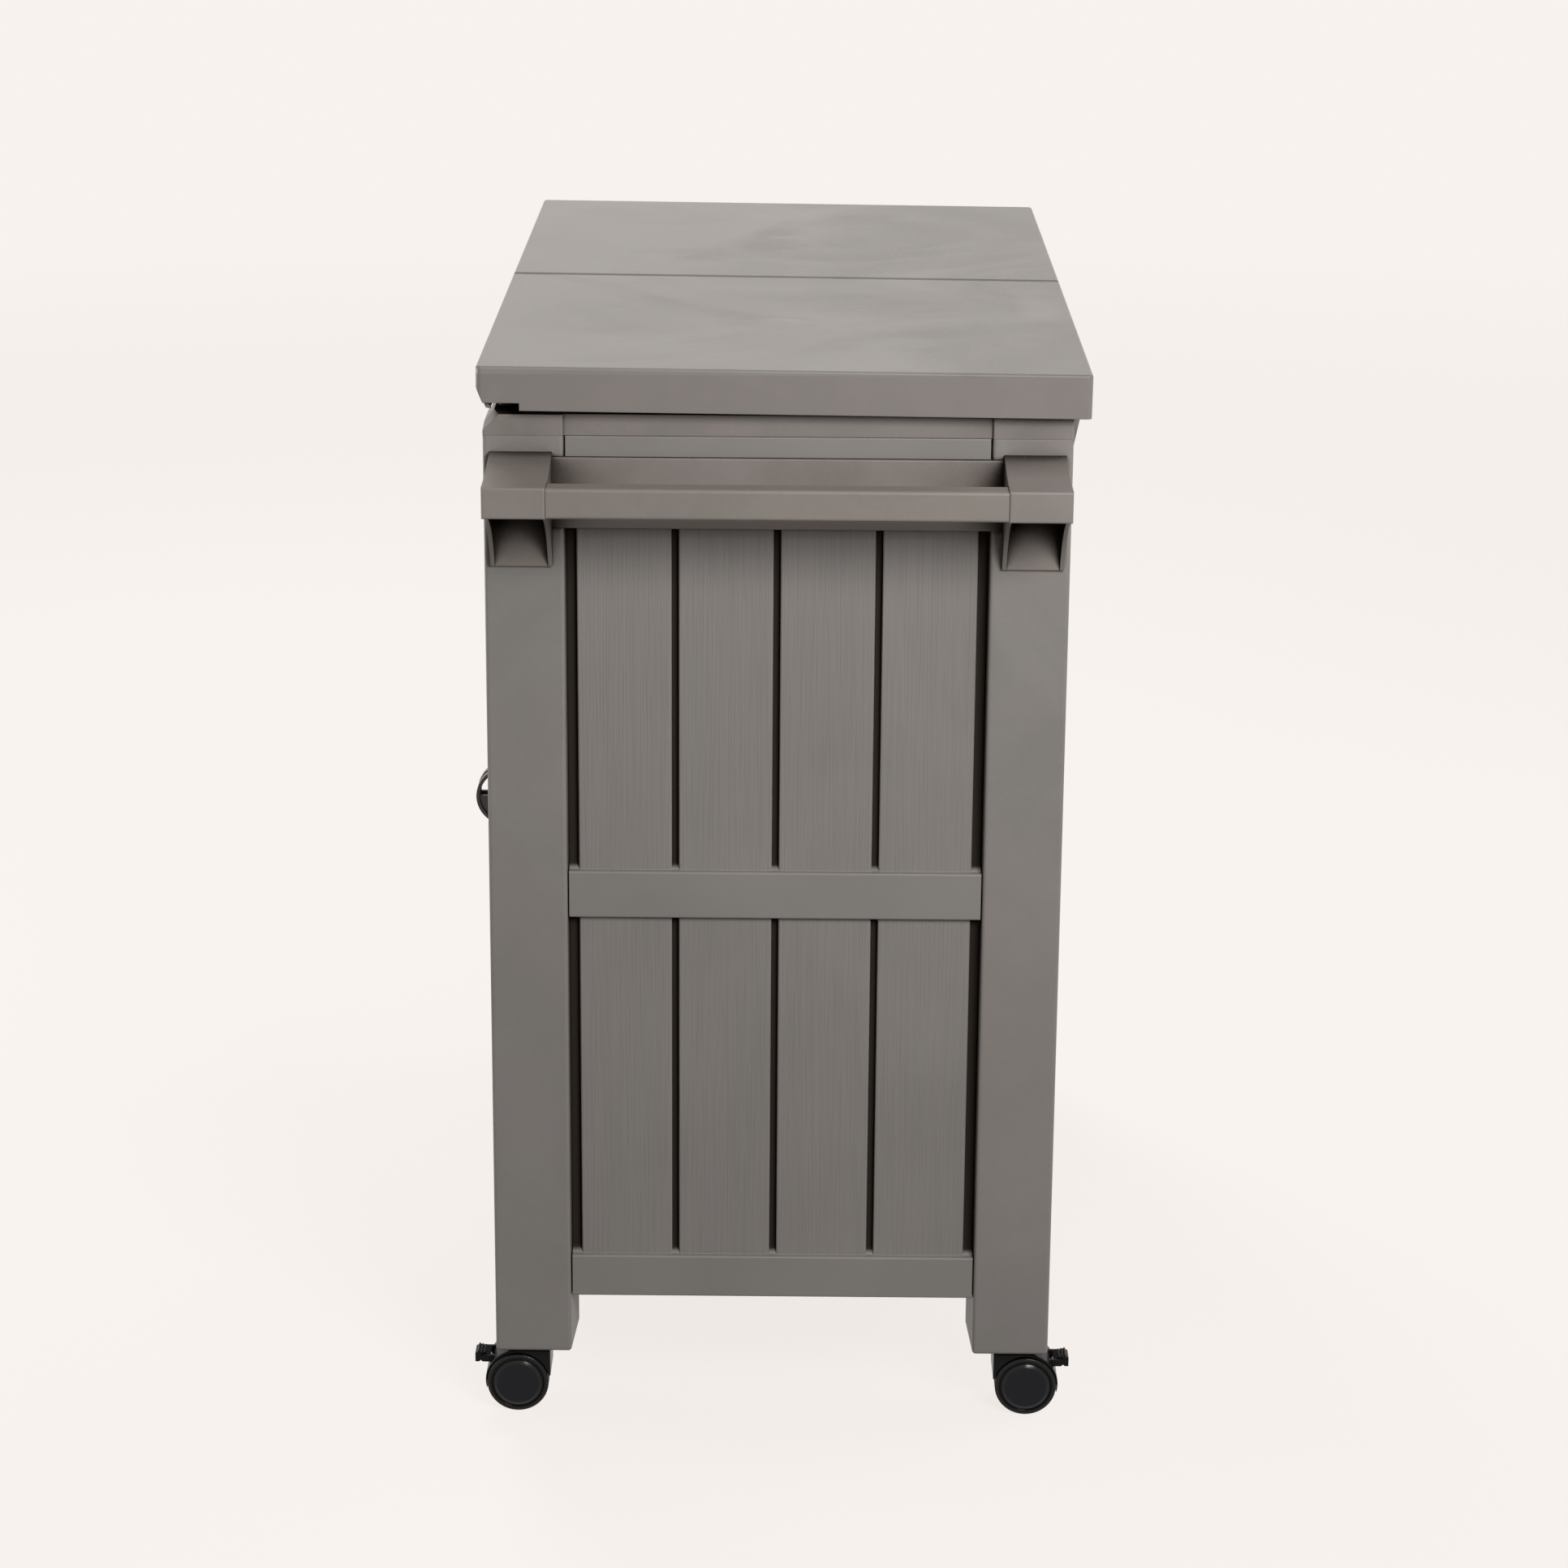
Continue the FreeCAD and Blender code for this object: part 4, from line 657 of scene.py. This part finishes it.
rubber = {
    "color": (0.020, 0.019, 0.019, 1),
    "bloom": (0.045, 0.043, 0.042, 1),
    "edgeRadius": 0.6 * mm,
    "grainDepth": 0.03 * mm,
    "roughness": 0.72,
    "specular": 0.3,
}


# Matt rubber with a pale bloom
def makeRubber(name):
    finish = Finish(name)
    bloom = finish.ramp(finish.noise(180, 4, 0.6), (0.4, 0), (0.7, 1))
    soft = finish.softEdge(rubber["edgeRadius"])
    base = finish.mixed(bloom, rubber["color"], rubber["bloom"])
    normal = finish.bump(finish.noise(1600, 2, 0.6), rubber["grainDepth"], soft)
    gloss = rubber["roughness"] + bloom * 0.12
    return finish.shader(color=base, roughness=gloss, normal=normal, specular=rubber["specular"])


paint(makeRubber("matRubber"), "lid_bumpers")
print("metal and rubber done")

studio = {
    "cream": (0.930, 0.887, 0.847, 1),  # floor and backdrop
    "skyLight": (1, 0.985, 0.965, 1),
    "ambient": 0.20,
    "floorSize": 120,
    "floorBounce": (0.07, 0.067, 0.064, 1),  # what the floor gives back to the cart
    "floorGlow": 0.90,  # share of the floor near the cart that ignores the shadow
    "floorNear": 1.5,  # metres out to where that share holds
    "floorFade": 6,  # and to where the floor has become the backdrop
}
lamps = {  # watts, metres
    "keyBox": {"power": 37, "size": (0.8, 0.8), "place": (2.02, 0.76, 1.62), "aim": (0.38, 0.0, 0.75)},
    "rearBox": {
        "power": 84, "size": (1.2, 1.0), "mirrored": False,
        "place": (-2.6, -1.0, 2.6), "aim": (0.0, 0.0, 0.80),
    },
    "doorBox": {"power": 16, "size": (1.0, 0.6), "place": (-0.2, -2.0, 0.55), "aim": (0.0, -0.23, 0.45)},
    "backBox": {
        "power": 25, "size": (1.4, 1.4), "mirrored": False,
        "place": (-0.6, 2.2, 1.5), "aim": (0.0, 0.2, 0.50),
    },
}


def makeWorld():
    sky = Finish("studioWorld", bpy.data.worlds)
    ambient = {"Color": studio["skyLight"], "Strength": studio["ambient"]}
    soft = sky.add("ShaderNodeBackground", None, ambient)
    plain = sky.add("ShaderNodeBackground", None, {"Color": studio["cream"], "Strength": 1})
    surface = sky.add("ShaderNodeMixShader", None, {0: sky.raysThatSee(), 1: soft, 2: plain})
    sky.add("ShaderNodeOutputWorld", None, {"Surface": surface})
    bpy.context.scene.world = sky.owner


def makeFloor():
    finish = Finish("paleFloor")
    seen = finish.raysThatSee()
    bounce = finish.mixed(finish.noise(3, 3, 0.5), studio["floorBounce"], tint(studio["floorBounce"], 1.03))
    lit = finish.add("ShaderNodeBsdfDiffuse", None, {"Color": finish.mixed(seen, bounce, studio["cream"])})
    glow = finish.add("ShaderNodeEmission", None, {"Color": studio["cream"], "Strength": 1})
    far = finish.distance((0, 0, 0)) / studio["floorFade"]
    share = finish.ramp(far, (studio["floorNear"] / studio["floorFade"], studio["floorGlow"]), (1, 1))
    surface = finish.add("ShaderNodeMixShader", None, {0: seen * share, 1: lit, 2: glow})
    finish.add("ShaderNodeOutputMaterial", None, {"Surface": surface})
    half = studio["floorSize"] / 2
    mesh = bpy.data.meshes.new("studioFloor")
    spots = [(-half, -half, 0), (half, -half, 0), (half, half, 0), (-half, half, 0)]
    mesh.from_pydata(spots, [], [(0, 1, 2, 3)])
    mesh.materials.append(finish.owner)
    floor = bpy.data.objects.new("studioFloor", mesh)
    bpy.context.scene.collection.objects.link(floor)


# Soft box; one that isn't mirrored lights the cart without a glare of its own
def makeLamp(name, power, size, place, aim, mirrored=True):
    lamp = bpy.data.lights.new(name, "AREA")
    lamp.energy = power
    lamp.shape = "RECTANGLE"
    lamp.size, lamp.size_y = size
    holder = bpy.data.objects.new(name, lamp)
    holder.location = place
    holder.rotation_euler = (Vector(aim) - Vector(place)).to_track_quat("-Z", "Y").to_euler()
    holder.visible_camera = False
    holder.visible_glossy = mirrored
    bpy.context.scene.collection.objects.link(holder)


makeWorld()
makeFloor()
for name, settings in lamps.items():
    makeLamp(name, **settings)
print("studio done")

view = {
    "place": (3.433, 0.02375, 1.489),
    "turn": 90.10,  # degrees about Z, looking along -X
    "pitch": 16.91,  # degrees below level
    "roll": 0.43,
    "focal": 4870,  # pixels of the photograph
    "photoWidth": 1932,
    "sensor": 36,
}


def makeCamera():
    camera = bpy.data.cameras.new("photoCamera")
    camera.sensor_width = view["sensor"]
    camera.lens = view["focal"] * view["sensor"] / view["photoWidth"]
    camera.clip_end = 300
    holder = bpy.data.objects.new("photoCamera", camera)
    turn = Matrix.Rotation(math.radians(view["turn"]), 4, "Z")
    pitch = Matrix.Rotation(math.radians(90 - view["pitch"]), 4, "X")
    roll = Matrix.Rotation(math.radians(view["roll"]), 4, "Z")
    holder.matrix_world = Matrix.Translation(Vector(view["place"])) @ turn @ pitch @ roll
    bpy.context.scene.collection.objects.link(holder)
    bpy.context.scene.camera = holder


makeCamera()
bpy.context.scene.view_settings.view_transform = "Standard"
print("camera done")
